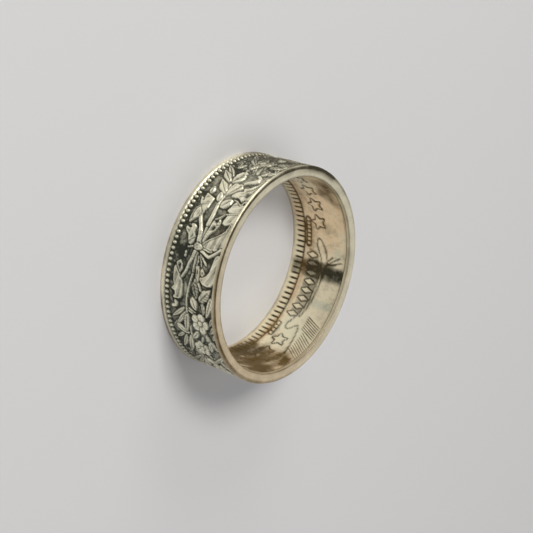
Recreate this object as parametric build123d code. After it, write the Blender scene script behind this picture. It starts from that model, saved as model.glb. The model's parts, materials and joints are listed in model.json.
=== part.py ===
from build123d import *
from build123d.topology import SkipClean
import math
import os

# The ring lies on its side. Its axis is +Z, and its beaded end rests on the plane Z = 0.
# Angles are in degrees round the axis: 0 is the side at -Y, where the bow is, and 90 is the side at +X.
# In the tables below, what is called up is a height over the resting end, as a share of the band's width.

# The band, in millimetres. The upper end is a little larger than the resting end, inside and outside.
# At the resting end the wall is as thick as the coin was, and it thins towards the upper end.
band_width = 6.5
rest_outer_radius = 10.35
upper_outer_radius = 10.50
rest_wall = 1.47
upper_wall = 1.03
lip_radius = rest_outer_radius - rest_wall
upper_bore_radius = upper_outer_radius - upper_wall

# The outer wall: a plain rim at the resting end, a sunk ground, and a rounded plain rim at the upper end.
rest_rim_width = 0.42
upper_rim_width = 0.32
rim_round = 0.24
rest_edge_break = 0.07
ground_depth = 0.22
ground_slope_run = 0.06

# The inner wall: a plain lip, a toothed recess, a flared field, and a bevel under the upper end.
lip_height = 0.42
lip_edge_break = 0.06
recess_depth = 0.14
recess_height = 0.84
recess_slope_run = 0.04
bevel_height = 0.40
bevel_depth = 0.05
bevel_line_depth = 0.04

# The row of beads on the outer wall.
bead_count = 124
bead_width = 0.35
bead_height = 0.46
bead_relief = 0.19
bead_sides = 6
bead_gap_to_rim = 0.03

# The row of teeth in the recess of the inner wall.
tooth_count = 104
tooth_width = 0.35
tooth_relief = 0.12

# The stars of the inner wall, from one side of the arch round to the other.
star_count = 22
star_points = 5
star_radius = 0.79
star_waist = 0.50
star_up = 0.475
first_star_degrees = 220.0
last_star_degrees = 498.0
star_relief = 0.10

# How high the raised work stands over the ground, and how deep its roots go into the metal.
leaf_relief = 0.21
ribbon_relief = 0.17
fold_relief = 0.21
stem_relief = 0.14
flower_relief = 0.23
inner_relief = 0.09
root_depth = 0.12

# The top of a leaf, bead, petal or tooth is a smaller copy of its outline, by this share.
leaf_top = 0.45
bead_top = 0.52
petal_top = 0.55
tooth_top = 0.80

# How wide a leaf is along its way, and a petal on its way out from the eye.
# Columns: share of the way, share of the half width
LEAF_SECTIONS = [(0.28, 1.00), (0.70, 0.80)]
PETAL_SECTIONS = [(0.60, 1.00), (0.92, 0.75)]

# Leaves of the left branch near the bow: from foot to tip, with the bend of the middle and the full width.
# Columns: foot degrees, foot up, tip degrees, tip up, width, bend
LEFT_LEAVES = [
    (-50.3, 0.308, -55.4, 0.385, 0.065, 0.000),
    (-51.5, 0.492, -58.5, 0.577, 0.069, 0.008),
    (-49.0, 0.692, -56.5, 0.646, 0.052, 0.006),
    (-48.9, 0.762, -54.4, 0.885, 0.055, 0.000),
    (-50.5, 0.862, -56.5, 0.954, 0.052, 0.000),
    (-34.6, 0.938, -50.0, 0.954, 0.085, 0.000),
    (-34.8, 0.746, -36.6, 0.954, 0.095, 0.000),
    (-43.0, 0.400, -51.2, 0.157, 0.077, 0.000),
    (-39.0, 0.438, -46.4, 0.188, 0.102, 0.003),
    (-31.0, 0.531, -39.4, 0.292, 0.123, 0.009),
    (-28.6, 0.300, -33.8, 0.280, 0.086, 0.000),
    (-25.4, 0.505, -31.2, 0.449, 0.098, 0.000),
    (-29.0, 0.551, -39.4, 0.582, 0.132, 0.000),
    (-29.6, 0.588, -38.0, 0.692, 0.062, 0.012),
    (-37.8, 0.498, -49.0, 0.517, 0.160, 0.012),
    (-29.6, 0.600, -33.0, 0.815, 0.092, 0.009),
    (-28.8, 0.708, -31.4, 0.915, 0.085, 0.000),
    (-22.6, 0.588, -28.4, 0.726, 0.142, 0.000),
]

# Leaves of the right branch near the bow, with the same columns.
RIGHT_LEAVES = [
    (33.6, 0.500, 35.2, 0.623, 0.025, 0.000),
    (32.2, 0.508, 34.0, 0.654, 0.025, 0.000),
    (26.8, 0.726, 19.2, 0.915, 0.151, 0.000),
    (16.0, 0.600, 21.6, 0.754, 0.071, 0.006),
    (17.6, 0.582, 25.9, 0.671, 0.111, 0.018),
    (26.8, 0.762, 34.0, 0.785, 0.065, 0.031),
    (25.8, 0.582, 32.2, 0.668, 0.123, 0.003),
    (22.6, 0.946, 34.6, 0.846, 0.095, 0.009),
    (33.6, 0.954, 39.2, 0.885, 0.055, 0.000),
    (38.6, 0.954, 43.4, 0.900, 0.065, 0.000),
    (43.2, 0.954, 47.6, 0.905, 0.052, 0.000),
    (45.2, 0.792, 52.0, 0.854, 0.074, 0.000),
    (49.0, 0.838, 54.8, 0.946, 0.077, 0.000),
    (50.0, 0.815, 57.6, 0.785, 0.080, 0.009),
    (47.8, 0.714, 52.4, 0.658, 0.040, 0.000),
    (45.0, 0.646, 51.4, 0.480, 0.083, 0.012),
    (32.8, 0.443, 40.6, 0.178, 0.062, 0.005),
    (40.2, 0.338, 45.8, 0.185, 0.037, 0.003),
    (35.0, 0.462, 45.4, 0.231, 0.065, 0.005),
    (44.2, 0.246, 48.4, 0.462, 0.102, -0.015),
    (35.6, 0.495, 47.6, 0.418, 0.108, -0.003),
    (49.8, 0.335, 54.4, 0.169, 0.055, 0.000),
    (50.2, 0.385, 61.4, 0.209, 0.071, 0.009),
    (49.2, 0.474, 64.0, 0.315, 0.092, 0.015),
    (58.0, 0.462, 66.5, 0.508, 0.062, 0.009),
    (59.0, 0.954, 69.0, 0.662, 0.071, 0.015),
]

# One spray of each branch further on, from its node, which is repeated up to the tips of the branches.
# Columns: foot degrees, foot up, tip degrees, tip up, width, bend
LEFT_SPRAY = [
    (0.0, 0.50, -8.0, 0.28, 0.085, 0.01),
    (-2.0, 0.50, -11.0, 0.50, 0.130, 0.01),
    (-1.0, 0.54, -8.5, 0.72, 0.090, -0.02),
    (-6.5, 0.38, -12.5, 0.22, 0.070, 0.01),
    (-6.0, 0.74, -13.0, 0.90, 0.085, -0.02),
    (-1.0, 0.72, -3.5, 0.93, 0.090, 0.00),
    (-12.5, 0.62, -18.5, 0.64, 0.110, 0.00),
    (-13.5, 0.38, -18.5, 0.26, 0.080, 0.00),
]
RIGHT_SPRAY = [
    (0.0, 0.48, 7.5, 0.20, 0.050, 0.01),
    (1.5, 0.48, 12.5, 0.22, 0.060, 0.01),
    (2.0, 0.50, 13.5, 0.38, 0.110, 0.02),
    (12.0, 0.28, 18.0, 0.44, 0.065, 0.01),
    (1.0, 0.54, 4.0, 0.72, 0.100, 0.00),
    (-2.0, 0.86, 6.0, 0.93, 0.075, 0.00),
    (11.0, 0.92, 18.0, 0.84, 0.065, 0.00),
    (12.5, 0.60, 18.5, 0.56, 0.060, 0.00),
]
LEFT_NODES = [-57.0, -78.0, -99.0, -120.0, -141.0]
RIGHT_NODES = [66.0, 87.0, 108.0, 129.0, 150.0]

# Open flowers of the right branch. Columns: degrees, up, radius, turn of the first petal
FLOWERS = [
    (39.4, 0.72, 0.158, 20.0),
    (56.9, 0.62, 0.140, 40.0),
    (75.0, 0.72, 0.145, 0.0),
    (96.0, 0.70, 0.145, 30.0),
    (117.0, 0.72, 0.145, 60.0),
    (138.0, 0.70, 0.140, 10.0),
    (158.5, 0.72, 0.130, 45.0),
]
petal_count = 5
petal_foot_share = 0.15
petal_width_share = 0.82
flower_eye_share = 0.26

# Stems and narrow ribbons, as points of their middle line. Columns: width, then (degrees, up) points
STEMS = [
    (0.050, [(-2.0, 0.55), (-10.0, 0.54), (-17.0, 0.555), (-24.0, 0.545), (-32.0, 0.525)]),
    (0.040, [(-32.0, 0.525), (-40.0, 0.49), (-52.0, 0.50), (-64.0, 0.52), (-76.0, 0.50)]),
    (0.036, [(-76.0, 0.50), (-92.0, 0.52), (-108.0, 0.50), (-124.0, 0.52)]),
    (0.032, [(-124.0, 0.52), (-140.0, 0.50), (-156.0, 0.52), (-168.0, 0.50)]),
    (0.046, [(4.0, 0.545), (9.5, 0.545), (15.0, 0.55), (20.6, 0.515), (26.5, 0.485), (33.5, 0.474)]),
    (0.038, [(33.5, 0.485), (44.0, 0.50), (54.0, 0.47), (66.0, 0.48), (80.0, 0.50)]),
    (0.034, [(80.0, 0.50), (96.0, 0.49), (112.0, 0.51), (128.0, 0.49)]),
    (0.030, [(128.0, 0.49), (142.0, 0.51), (156.0, 0.49), (168.0, 0.51)]),
    (0.040, [(38.0, 0.50), (38.9, 0.60)]),
    (0.040, [(52.0, 0.48), (56.0, 0.56)]),
]
RIBBON_STRANDS = [
    (0.030, [(-3.6, 0.955), (-1.0, 0.91), (0.9, 0.86), (3.3, 0.78), (3.1, 0.70), (1.7, 0.63), (1.5, 0.58)]),
    (0.024, [(7.9, 0.755), (3.6, 0.625)]),
    (0.052, [(3.2, 0.50), (8.0, 0.485), (12.5, 0.44), (17.8, 0.37)]),
    (0.050, [(-10.2, 0.31), (-9.2, 0.37), (-6.4, 0.375), (-5.6, 0.29), (-6.8, 0.22), (-8.6, 0.21)]),
    (0.036, [(30.3, 0.24), (31.0, 0.31), (32.5, 0.32), (33.8, 0.27), (34.2, 0.20)]),
    (0.024, [(0.3, 0.45), (1.6, 0.37)]),
]

# The bow's loops and the broad ends of its ribbon, as outlines of (degrees, up) points.
RIBBON_PANELS = [
    [(-21.5, 0.952), (-15.3, 0.952), (-14.9, 0.905), (-14.3, 0.84), (-14.4, 0.735), (-17.5, 0.70),
     (-19.6, 0.76), (-19.9, 0.82)],
    [(-15.3, 0.952), (-7.6, 0.952), (-7.6, 0.785), (-10.0, 0.855), (-14.9, 0.915)],
    [(-7.6, 0.952), (-3.6, 0.952), (-1.2, 0.90), (0.2, 0.80), (-0.2, 0.69), (-0.8, 0.595), (-3.2, 0.645),
     (-5.0, 0.70), (-7.6, 0.785)],
    [(-17.6, 0.69), (-14.2, 0.735), (-11.2, 0.73), (-5.0, 0.62), (-1.5, 0.58), (-4.0, 0.565),
     (-9.0, 0.595), (-15.5, 0.625)],
    [(1.2, 0.952), (9.4, 0.952), (9.4, 0.845), (2.4, 0.87), (1.0, 0.885)],
    [(9.4, 0.952), (13.5, 0.952), (16.2, 0.925), (17.8, 0.86), (17.5, 0.77), (15.9, 0.695), (14.3, 0.70),
     (13.6, 0.755), (12.2, 0.80), (10.2, 0.84), (9.4, 0.845)],
    [(9.4, 0.655), (15.8, 0.715), (15.9, 0.645), (14.5, 0.62), (10.2, 0.63)],
    [(-26.4, 0.952), (-21.9, 0.952), (-20.6, 0.80), (-22.5, 0.755), (-25.2, 0.77), (-28.2, 0.80),
     (-26.2, 0.89)],
    [(-26.2, 0.405), (-19.5, 0.405), (-19.5, 0.25), (-21.2, 0.255), (-25.6, 0.195), (-24.4, 0.26),
     (-28.6, 0.245)],
    [(-19.5, 0.405), (-15.6, 0.365), (-13.2, 0.32), (-9.8, 0.22), (-15.8, 0.205), (-19.5, 0.25)],
    [(11.7, 0.22), (13.6, 0.285), (16.0, 0.34), (19.0, 0.385), (21.0, 0.40), (21.0, 0.225),
     (17.4, 0.22), (13.4, 0.20)],
    [(21.0, 0.40), (22.4, 0.41), (26.2, 0.40), (28.4, 0.355), (29.6, 0.28), (28.9, 0.23), (27.3, 0.27),
     (25.0, 0.27), (24.6, 0.19), (23.2, 0.23), (21.0, 0.225)],
    [(-0.5, 0.58), (-4.5, 0.55), (-10.0, 0.50), (-16.0, 0.39), (-14.2, 0.345), (-10.5, 0.40),
     (-6.0, 0.46), (1.5, 0.475)],
]
KNOT = [(-1.1, 0.585), (1.5, 0.605), (3.5, 0.57), (3.7, 0.49), (1.5, 0.465), (-1.0, 0.485)]

# The arch on the inner wall, as points of its middle line, and the plain work round it.
# Columns: width, then (degrees, up) points
INNER_STRIPS = [
    (0.090, [(149.5, 0.435), (156.0, 0.475), (163.0, 0.53), (170.0, 0.56), (177.0, 0.57), (184.0, 0.565),
             (191.0, 0.545), (198.0, 0.51), (206.5, 0.455)]),
    (0.020, [(129.0, 0.725), (148.0, 0.625)]),
    (0.020, [(210.0, 0.625), (229.0, 0.725)]),
]

# A row of upright lozenges under the arch, and two short rows of small pellets beside it.
lozenge_count = 8
lozenge_first_degrees = 158.5
lozenge_last_degrees = 197.5
lozenge_up = 0.345
lozenge_arch_up = 0.055
lozenge_width = 0.070
lozenge_height = 0.170
# Columns: first degrees, last degrees, up, count
PELLET_ROWS = [
    (140.0, 149.0, 0.270, 4),
    (205.0, 221.0, 0.285, 7),
]
pellet_size = 0.055
pellet_sides = 6

# Two fans of fine rays above the arch. Columns: first foot degrees, foot up, step, tip shift, tip up, count
RAY_FANS = [
    (132.0, 0.76, 1.9, -4.5, 0.92, 8),
    (150.0, 0.64, 1.5, -5.5, 0.90, 7),
    (197.0, 0.66, 1.5, 3.5, 0.86, 4),
]
ray_width = 0.014


def wall_radius(height, rest_radius, upper_radius):
    """Radius of a straight wall at a height, from its radius at the resting end and at the upper end."""
    return rest_radius + (upper_radius - rest_radius) * height / band_width


def ground_radius(height):
    """Radius of the sunk ground of the outer wall, under the line from rim to rim."""
    return wall_radius(height, rest_outer_radius, upper_outer_radius) - ground_depth


def seam_radius(height):
    """Radius of the hidden seam in the metal, halfway between the outer ground and the inner wall."""
    rest_middle = (lip_radius + recess_depth + rest_outer_radius - ground_depth) / 2
    upper_middle = (upper_bore_radius + upper_outer_radius - ground_depth) / 2
    return wall_radius(height, rest_middle, upper_middle)


def field_radius(height):
    """Radius of the field of the inner wall, which runs from the recess up to the bevel."""
    foot = lip_radius + recess_depth
    top = upper_bore_radius - bevel_depth
    foot_height = lip_height + recess_height
    top_height = band_width - bevel_height
    return foot + (top - foot) * (height - foot_height) / (top_height - foot_height)


def outer_place(degrees, height):
    """Plane on the ground of the outer wall: X runs along the angle, Y up the wall, and Z out of the metal."""
    turn = math.radians(degrees)
    slope = math.atan2(upper_outer_radius - rest_outer_radius, band_width)
    outwards = Vector(math.sin(turn), -math.cos(turn), 0)
    along = Vector(math.cos(turn), math.sin(turn), 0)
    normal = outwards * math.cos(slope) - Vector(0, 0, 1) * math.sin(slope)
    origin = outwards * ground_radius(height) + Vector(0, 0, height)
    return Plane(origin=origin, x_dir=along, z_dir=normal)


def inner_place(degrees, height, radius, flare):
    """Plane on the inner wall: X runs against the angle, Y up the wall, and Z out of the metal, inwards."""
    turn = math.radians(degrees)
    outwards = Vector(math.sin(turn), -math.cos(turn), 0)
    along = Vector(math.cos(turn), math.sin(turn), 0)
    normal = Vector(0, 0, 1) * math.sin(flare) - outwards * math.cos(flare)
    return Plane(origin=outwards * radius + Vector(0, 0, height), x_dir=along * -1, z_dir=normal)


def field_place(degrees, height):
    """Plane on the flared field of the inner wall."""
    rise = band_width - bevel_height - lip_height - recess_height
    flare = math.atan2(upper_bore_radius - bevel_depth - lip_radius - recess_depth, rise)
    return inner_place(degrees, height, field_radius(height), flare)


def flat_points(points, middle_degrees, middle_up, radius, side):
    """Points of (degrees, up) laid out flat, in millimetres from their middle; side is -1 on the inner wall."""
    return [
        (side * math.radians(degrees - middle_degrees) * radius, (up - middle_up) * band_width)
        for degrees, up in points
    ]


def raised_form(place, outline, top_share, relief):
    """A solid from an outline under the ground to a smaller copy of it on top, with flat sides."""
    middle_x = sum(x for x, y in outline) / len(outline)
    middle_y = sum(y for x, y in outline) / len(outline)
    low = [place.from_local_coords((x, y, -root_depth)) for x, y in outline]
    high = [
        place.from_local_coords((
            middle_x + (x - middle_x) * top_share,
            middle_y + (y - middle_y) * top_share,
            relief,
        ))
        for x, y in outline
    ]
    faces = [Face(Wire.make_polygon(low)), Face(Wire.make_polygon(high))]
    for first in range(len(outline)):
        second = (first + 1) % len(outline)
        faces.append(Face(Wire.make_polygon([low[first], low[second], high[second], high[first]])))
    return Solid(Shell(faces))


def strip_outline(points, width):
    """The outline of a strip of even width along a line of flat points."""
    left = []
    right = []
    for number, (x, y) in enumerate(points):
        before = points[max(number - 1, 0)]
        after = points[min(number + 1, len(points) - 1)]
        run = math.hypot(after[0] - before[0], after[1] - before[1])
        across_x = -(after[1] - before[1]) / run * width / 2
        across_y = (after[0] - before[0]) / run * width / 2
        left.append((x + across_x, y + across_y))
        right.append((x - across_x, y - across_y))
    return left + right[::-1]


def outer_panel(points, relief):
    """A flat-topped panel raised on the outer wall, from an outline of (degrees, up) points."""
    middle_degrees = sum(degrees for degrees, up in points) / len(points)
    middle_up = sum(up for degrees, up in points) / len(points)
    height = middle_up * band_width
    flat = flat_points(points, middle_degrees, middle_up, ground_radius(height), 1)
    return raised_form(outer_place(middle_degrees, height), flat, 1.0, relief)


def outer_strips(width_share, points, relief):
    """A stem or strand on the outer wall: one straight raised strip for each run of its line."""
    strips = []
    for (start_degrees, start_up), (end_degrees, end_up) in zip(points, points[1:]):
        middle_degrees = (start_degrees + end_degrees) / 2
        middle_up = (start_up + end_up) / 2
        height = middle_up * band_width
        run = [(start_degrees, start_up), (end_degrees, end_up)]
        flat = flat_points(run, middle_degrees, middle_up, ground_radius(height), 1)
        outline = strip_outline(flat, width_share * band_width)
        strips.append(raised_form(outer_place(middle_degrees, height), outline, 1.0, relief))
    return strips


def leaf_outline(length, width, bend):
    """Six points of a leaf along X, pointed at both ends and widest before its middle."""
    near = [(length * (way - 0.5), bend - width / 2 * share) for way, share in LEAF_SECTIONS]
    far = [(length * (way - 0.5), bend + width / 2 * share) for way, share in reversed(LEAF_SECTIONS)]
    return [(-length / 2, 0.0)] + near + [(length / 2, 0.0)] + far


def outer_leaf(foot_degrees, foot_up, tip_degrees, tip_up, width_share, bend_share):
    """A leaf on the outer wall, from its foot to its tip."""
    middle_degrees = (foot_degrees + tip_degrees) / 2
    height = (foot_up + tip_up) / 2 * band_width
    run = math.radians(tip_degrees - foot_degrees) * ground_radius(height)
    rise = (tip_up - foot_up) * band_width
    angle = math.atan2(rise, run)
    outline = leaf_outline(math.hypot(run, rise), width_share * band_width, bend_share * band_width)
    turned = [
        (x * math.cos(angle) - y * math.sin(angle), x * math.sin(angle) + y * math.cos(angle))
        for x, y in outline
    ]
    return raised_form(outer_place(middle_degrees, height), turned, leaf_top, leaf_relief)


def flower(degrees, up, radius_share, turn):
    """An open flower: petals round a round eye."""
    radius = radius_share * band_width
    place = outer_place(degrees, up * band_width)
    half = radius * petal_width_share * math.sin(math.pi / petal_count)
    near = [(radius * way, -half * share) for way, share in PETAL_SECTIONS]
    far = [(radius * way, half * share) for way, share in reversed(PETAL_SECTIONS)]
    outline = [(radius * petal_foot_share, 0.0)] + near + [(radius, 0.0)] + far
    petals = []
    for number in range(petal_count):
        angle = math.radians(turn + number * 360 / petal_count)
        turned = [
            (x * math.cos(angle) - y * math.sin(angle), x * math.sin(angle) + y * math.cos(angle))
            for x, y in outline
        ]
        petals.append(raised_form(place, turned, petal_top, leaf_relief))
    eye = round_outline(radius * flower_eye_share, radius * flower_eye_share, bead_sides)
    petals.append(raised_form(place, eye, petal_top, flower_relief))
    return petals


def round_outline(half_width, half_height, sides):
    """Points of an oval with a side, not a corner, towards its neighbours."""
    outline = []
    for number in range(sides):
        angle = math.pi * (2 * number + 1) / sides
        outline.append((half_width * math.cos(angle), half_height * math.sin(angle)))
    return outline


def bead_row():
    """The beads beside the plain rim of the resting end."""
    height = rest_rim_width + bead_gap_to_rim + bead_height / 2
    outline = round_outline(bead_width / 2, bead_height / 2, bead_sides)
    return [
        raised_form(outer_place((number + 0.5) * 360 / bead_count, height), outline, bead_top, bead_relief)
        for number in range(bead_count)
    ]


def tooth_row():
    """The teeth that stand from the lip up the recess of the inner wall."""
    low = lip_height - lip_edge_break
    high = lip_height + recess_height
    outline = [
        (-tooth_width / 2, low - high),
        (tooth_width / 2, low - high),
        (tooth_width / 2, 0.0),
        (-tooth_width / 2, 0.0),
    ]
    return [
        raised_form(
            inner_place((number + 0.5) * 360 / tooth_count, high, lip_radius + recess_depth, 0.0),
            outline, tooth_top, tooth_relief,
        )
        for number in range(tooth_count)
    ]


def star(degrees):
    """A star on the field of the inner wall, with one point down towards the teeth."""
    outline = []
    for number in range(star_points * 2):
        reach = star_radius if number % 2 == 0 else star_radius * star_waist
        angle = -math.pi / 2 + number * math.pi / star_points
        outline.append((reach * math.cos(angle), reach * math.sin(angle)))
    return raised_form(field_place(degrees, star_up * band_width), outline, 1.0, star_relief)


def inner_strips(width_share, points):
    """A strip on the field of the inner wall: one straight raised piece for each run of its line."""
    strips = []
    for (start_degrees, start_up), (end_degrees, end_up) in zip(points, points[1:]):
        middle_degrees = (start_degrees + end_degrees) / 2
        middle_up = (start_up + end_up) / 2
        height = middle_up * band_width
        run = [(start_degrees, start_up), (end_degrees, end_up)]
        flat = flat_points(run, middle_degrees, middle_up, field_radius(height), -1)
        outline = strip_outline(flat, width_share * band_width)
        strips.append(raised_form(field_place(middle_degrees, height), outline, 1.0, inner_relief))
    return strips


def lozenge_row():
    """Upright lozenges that follow the arch from below."""
    half_width = lozenge_width * band_width / 2
    half_height = lozenge_height * band_width / 2
    outline = [(half_width, 0.0), (0.0, half_height), (-half_width, 0.0), (0.0, -half_height)]
    row = []
    for number in range(lozenge_count):
        share = number / (lozenge_count - 1)
        degrees = lozenge_first_degrees + (lozenge_last_degrees - lozenge_first_degrees) * share
        up = lozenge_up + lozenge_arch_up * math.sin(math.pi * share)
        row.append(raised_form(field_place(degrees, up * band_width), outline, 1.0, inner_relief))
    return row


def pellet_rows():
    """Small round pellets in short rows."""
    half = pellet_size * band_width / 2
    pellets = []
    for first, last, up, count in PELLET_ROWS:
        for number in range(count):
            place = field_place(first + (last - first) * number / (count - 1), up * band_width)
            outline = round_outline(half, half, pellet_sides)
            pellets.append(raised_form(place, outline, bead_top, inner_relief))
    return pellets


def ray_fans():
    """Fine straight rays, side by side."""
    rays = []
    for first, foot_up, step, tip_shift, tip_up, count in RAY_FANS:
        for number in range(count):
            foot = first + step * number
            rays += inner_strips(ray_width, [(foot, foot_up), (foot + tip_shift, tip_up)])
    return rays


def turned(profile, rounded_corner=None):
    """A ring turned from a profile of (radius, height) points, with the named corner rounded, if there is one."""
    with BuildPart() as ring:
        with BuildSketch(Plane.XZ):
            with BuildLine() as outline:
                Polyline(*profile, close=True)
                if rounded_corner is not None:
                    fillet(outline.vertices().sort_by_distance((*rounded_corner, 0))[0], rim_round)
            make_face()
        revolve(axis=Axis.Z)
    return ring.part


def rest_rim():
    """The plain rim that the ring rests on, with the row of beads beside it."""
    bead_top_height = rest_rim_width + bead_height + 2 * bead_gap_to_rim
    rim = turned([
        (seam_radius(0), 0),
        (rest_outer_radius - rest_edge_break, 0),
        (rest_outer_radius, rest_edge_break),
        (rest_outer_radius, rest_rim_width - ground_slope_run),
        (ground_radius(rest_rim_width), rest_rim_width),
        (ground_radius(bead_top_height), bead_top_height),
        (seam_radius(bead_top_height), bead_top_height),
    ])
    return rim.fuse(*bead_row())


def wreath_wall():
    """The outer wall from the beads up to the rounded upper rim, with the wreath and its bow."""
    low = rest_rim_width + bead_height + 2 * bead_gap_to_rim
    high = band_width - upper_rim_width
    wall = turned([
        (seam_radius(low), low),
        (ground_radius(low), low),
        (ground_radius(high), high),
        (upper_outer_radius, high + ground_slope_run),
        (upper_outer_radius, band_width),
        (seam_radius(band_width), band_width),
    ], (upper_outer_radius, band_width))
    sprays = []
    for nodes, spray in ((LEFT_NODES, LEFT_SPRAY), (RIGHT_NODES, RIGHT_SPRAY)):
        for node in nodes:
            for foot, foot_up, tip, tip_up, width, bend in spray:
                sprays.append(outer_leaf(node + foot, foot_up, node + tip, tip_up, width, bend))
    leaves = [outer_leaf(*leaf) for leaf in LEFT_LEAVES + RIGHT_LEAVES]
    flowers = []
    for degrees, up, radius, turn in FLOWERS:
        flowers += flower(degrees, up, radius, turn)
    bow = []
    for width, points in STEMS:
        bow += outer_strips(width, points, stem_relief)
    for width, points in RIBBON_STRANDS:
        bow += outer_strips(width, points, fold_relief)
    for points in RIBBON_PANELS:
        bow.append(outer_panel(points, ribbon_relief))
    bow.append(outer_panel(KNOT, flower_relief))
    return wall.fuse(*bow, *leaves).fuse(*sprays, *flowers)


def toothed_lip():
    """The plain lip of the bore and the recess above it, with the row of teeth."""
    recess_top = lip_height + recess_height
    lip = turned([
        (lip_radius + lip_edge_break, 0),
        (seam_radius(0), 0),
        (seam_radius(recess_top), recess_top),
        (lip_radius + recess_depth, recess_top),
        (lip_radius + recess_depth, lip_height + recess_slope_run),
        (lip_radius, lip_height),
        (lip_radius, lip_edge_break),
    ])
    return lip.fuse(*tooth_row())


def field_wall():
    """The flared inner wall over the teeth, with the stars, the arch and the plain work round it."""
    recess_top = lip_height + recess_height
    bevel_foot = band_width - bevel_height
    field = turned([
        (seam_radius(recess_top), recess_top),
        (seam_radius(band_width), band_width),
        (upper_bore_radius, band_width),
        (upper_bore_radius - bevel_depth - bevel_line_depth, bevel_foot),
        (field_radius(bevel_foot - bevel_line_depth), bevel_foot - bevel_line_depth),
        (lip_radius + recess_depth, recess_top),
    ])
    star_step = (last_star_degrees - first_star_degrees) / (star_count - 1)
    stars = [star(first_star_degrees + number * star_step) for number in range(star_count)]
    strips = []
    for width, points in INNER_STRIPS:
        strips += inner_strips(width, points)
    return field.fuse(*stars, *strips, *lozenge_row(), *pellet_rows(), *ray_fans())


def coin_band():
    """The whole ring as one piece of silver: four turned rings that meet on hidden seams in the metal.

    Merging faces that lie level with each other is left out: it is slow, and so few of these faces do.
    """
    with SkipClean():
        return rest_rim().fuse(wreath_wall(), toothed_lip(), field_wall())


ring = coin_band()
os.makedirs("parts", exist_ok=True)
export_step(ring, "parts/coin_band.step")
print("faces", len(ring.faces()), "volume", round(ring.volume, 1), "solids", len(ring.solids()))
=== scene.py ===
# %% [markdown]
# # A ring folded from a struck coin
# The real ring is one piece of silver. A coin had its middle cut out, and the band that was left was folded
# up, so its struck wreath now runs round the outside and the border of its other face round the inside. It
# could be modelled leaf by leaf and joined, or sculpted by hand. Here it is one closed mesh whose two walls
# are height fields: plain walls worked out from a few radii, with leaves, ribbons, flowers, beads, teeth
# and stars added as a height for each point of a grid. That fits a coin, because a die leaves no undercut
# either.

# %% Load the frame
import json

import bpy
import numpy as np
from mathutils import Matrix, Vector


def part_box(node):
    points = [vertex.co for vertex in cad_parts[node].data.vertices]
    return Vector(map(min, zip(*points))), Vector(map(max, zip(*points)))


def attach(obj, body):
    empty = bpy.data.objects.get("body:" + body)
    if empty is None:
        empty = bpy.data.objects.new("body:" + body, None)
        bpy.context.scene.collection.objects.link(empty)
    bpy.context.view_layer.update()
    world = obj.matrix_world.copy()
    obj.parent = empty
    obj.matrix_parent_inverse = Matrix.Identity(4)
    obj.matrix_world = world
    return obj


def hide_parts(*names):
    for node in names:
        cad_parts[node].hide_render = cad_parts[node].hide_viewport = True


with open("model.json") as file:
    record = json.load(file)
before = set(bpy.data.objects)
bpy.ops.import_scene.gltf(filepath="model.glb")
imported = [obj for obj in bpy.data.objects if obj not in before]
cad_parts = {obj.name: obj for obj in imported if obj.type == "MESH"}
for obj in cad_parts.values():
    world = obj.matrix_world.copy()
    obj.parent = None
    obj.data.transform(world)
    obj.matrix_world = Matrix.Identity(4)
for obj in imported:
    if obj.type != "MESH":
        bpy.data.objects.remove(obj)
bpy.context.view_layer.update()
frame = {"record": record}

BAND = "coin_band"
low, high = (np.array(corner) * 1000 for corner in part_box(BAND))
BAND_WIDTH = high[2] - low[2]
UPPER_OUTER = (high[0] - low[0]) / 2
print("band", round(BAND_WIDTH, 3), "mm wide,", round(2 * UPPER_OUTER, 3), "mm across")

# %% [markdown]
# ## The plain walls
# Every size is in millimetres until the mesh is written. The outer wall has a plain rim at the resting end,
# a sunk ground, and a rounded rim at the upper end. The inner wall has a plain lip, a recess for the teeth,
# a flared field and a narrow bevel. A profile turned by a Screw modifier would give the same walls, but the
# relief needs a value at every point, so a wall is worked out as an array of radii. They are measured to
# the lowest level of each wall, and the relief is added to them.

# %% Sizes of the walls
LIP_RADIUS = frame["record"]["mounts"][0]["dims"]["r_mm"]
CONE = 0.15
FLARE = 0.59
REST_OUTER = UPPER_OUTER - CONE
UPPER_BORE = LIP_RADIUS + FLARE
GROUND_DEPTH = 0.22
REST_RIM = 0.42
UPPER_RIM = 0.28
RIM_ROUND = 0.24
EDGE_BREAK = 0.07
LIP_HEIGHT = 0.40
RECESS_DEPTH = 0.14
RECESS_TOP = 1.26
BEVEL_HEIGHT = 0.36
BEVEL_DEPTH = 0.06
FIELD_TOP = BAND_WIDTH - BEVEL_HEIGHT


def outer_ground(heights):
    """Radius of the sunk ground: a straight line from rim to rim, less the depth of the ground."""
    return REST_OUTER + (UPPER_OUTER - REST_OUTER) * heights / BAND_WIDTH - GROUND_DEPTH


def inner_ground(heights):
    """Radius of the recess, then of the field, which flares in a straight line to the bevel's foot."""
    foot = LIP_RADIUS + RECESS_DEPTH
    share = np.clip((heights - RECESS_TOP) / (FIELD_TOP - RECESS_TOP), 0, 1)
    return foot + (UPPER_BORE - BEVEL_DEPTH - foot) * share


print("bore", round(2 * LIP_RADIUS, 3), "mm at the lip,", round(2 * UPPER_BORE, 3), "mm at the top")

# %% [markdown]
# ## A flat drawing sheet for each wall
# A die is cut flat, and so is this pattern drawn. A `Sheet` is a wall unrolled as a fine even grid. It holds
# the relief over the ground in millimetres, and the tone: 0 is bright metal and 1 the darkest tarnish. Some
# painted shade is added to the tone as well. A painted image could hold both, but forms drawn by formula keep
# their sizes and need no file. A form is laid on the sheet by its inside distance, which says how far a point
# lies inside the outline. The form rises softly at its edge and presses a narrow moat round itself into what
# lies below. That moat keeps overlapping leaves apart, as on a coin.


# %% The sheet
def soft_step(values):
    """Rises from 0 to 1 over 0 to 1, level at both ends: three times the square less twice the cube."""
    values = np.clip(values, 0, 1)
    return values * values * (3 - 2 * values)


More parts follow.
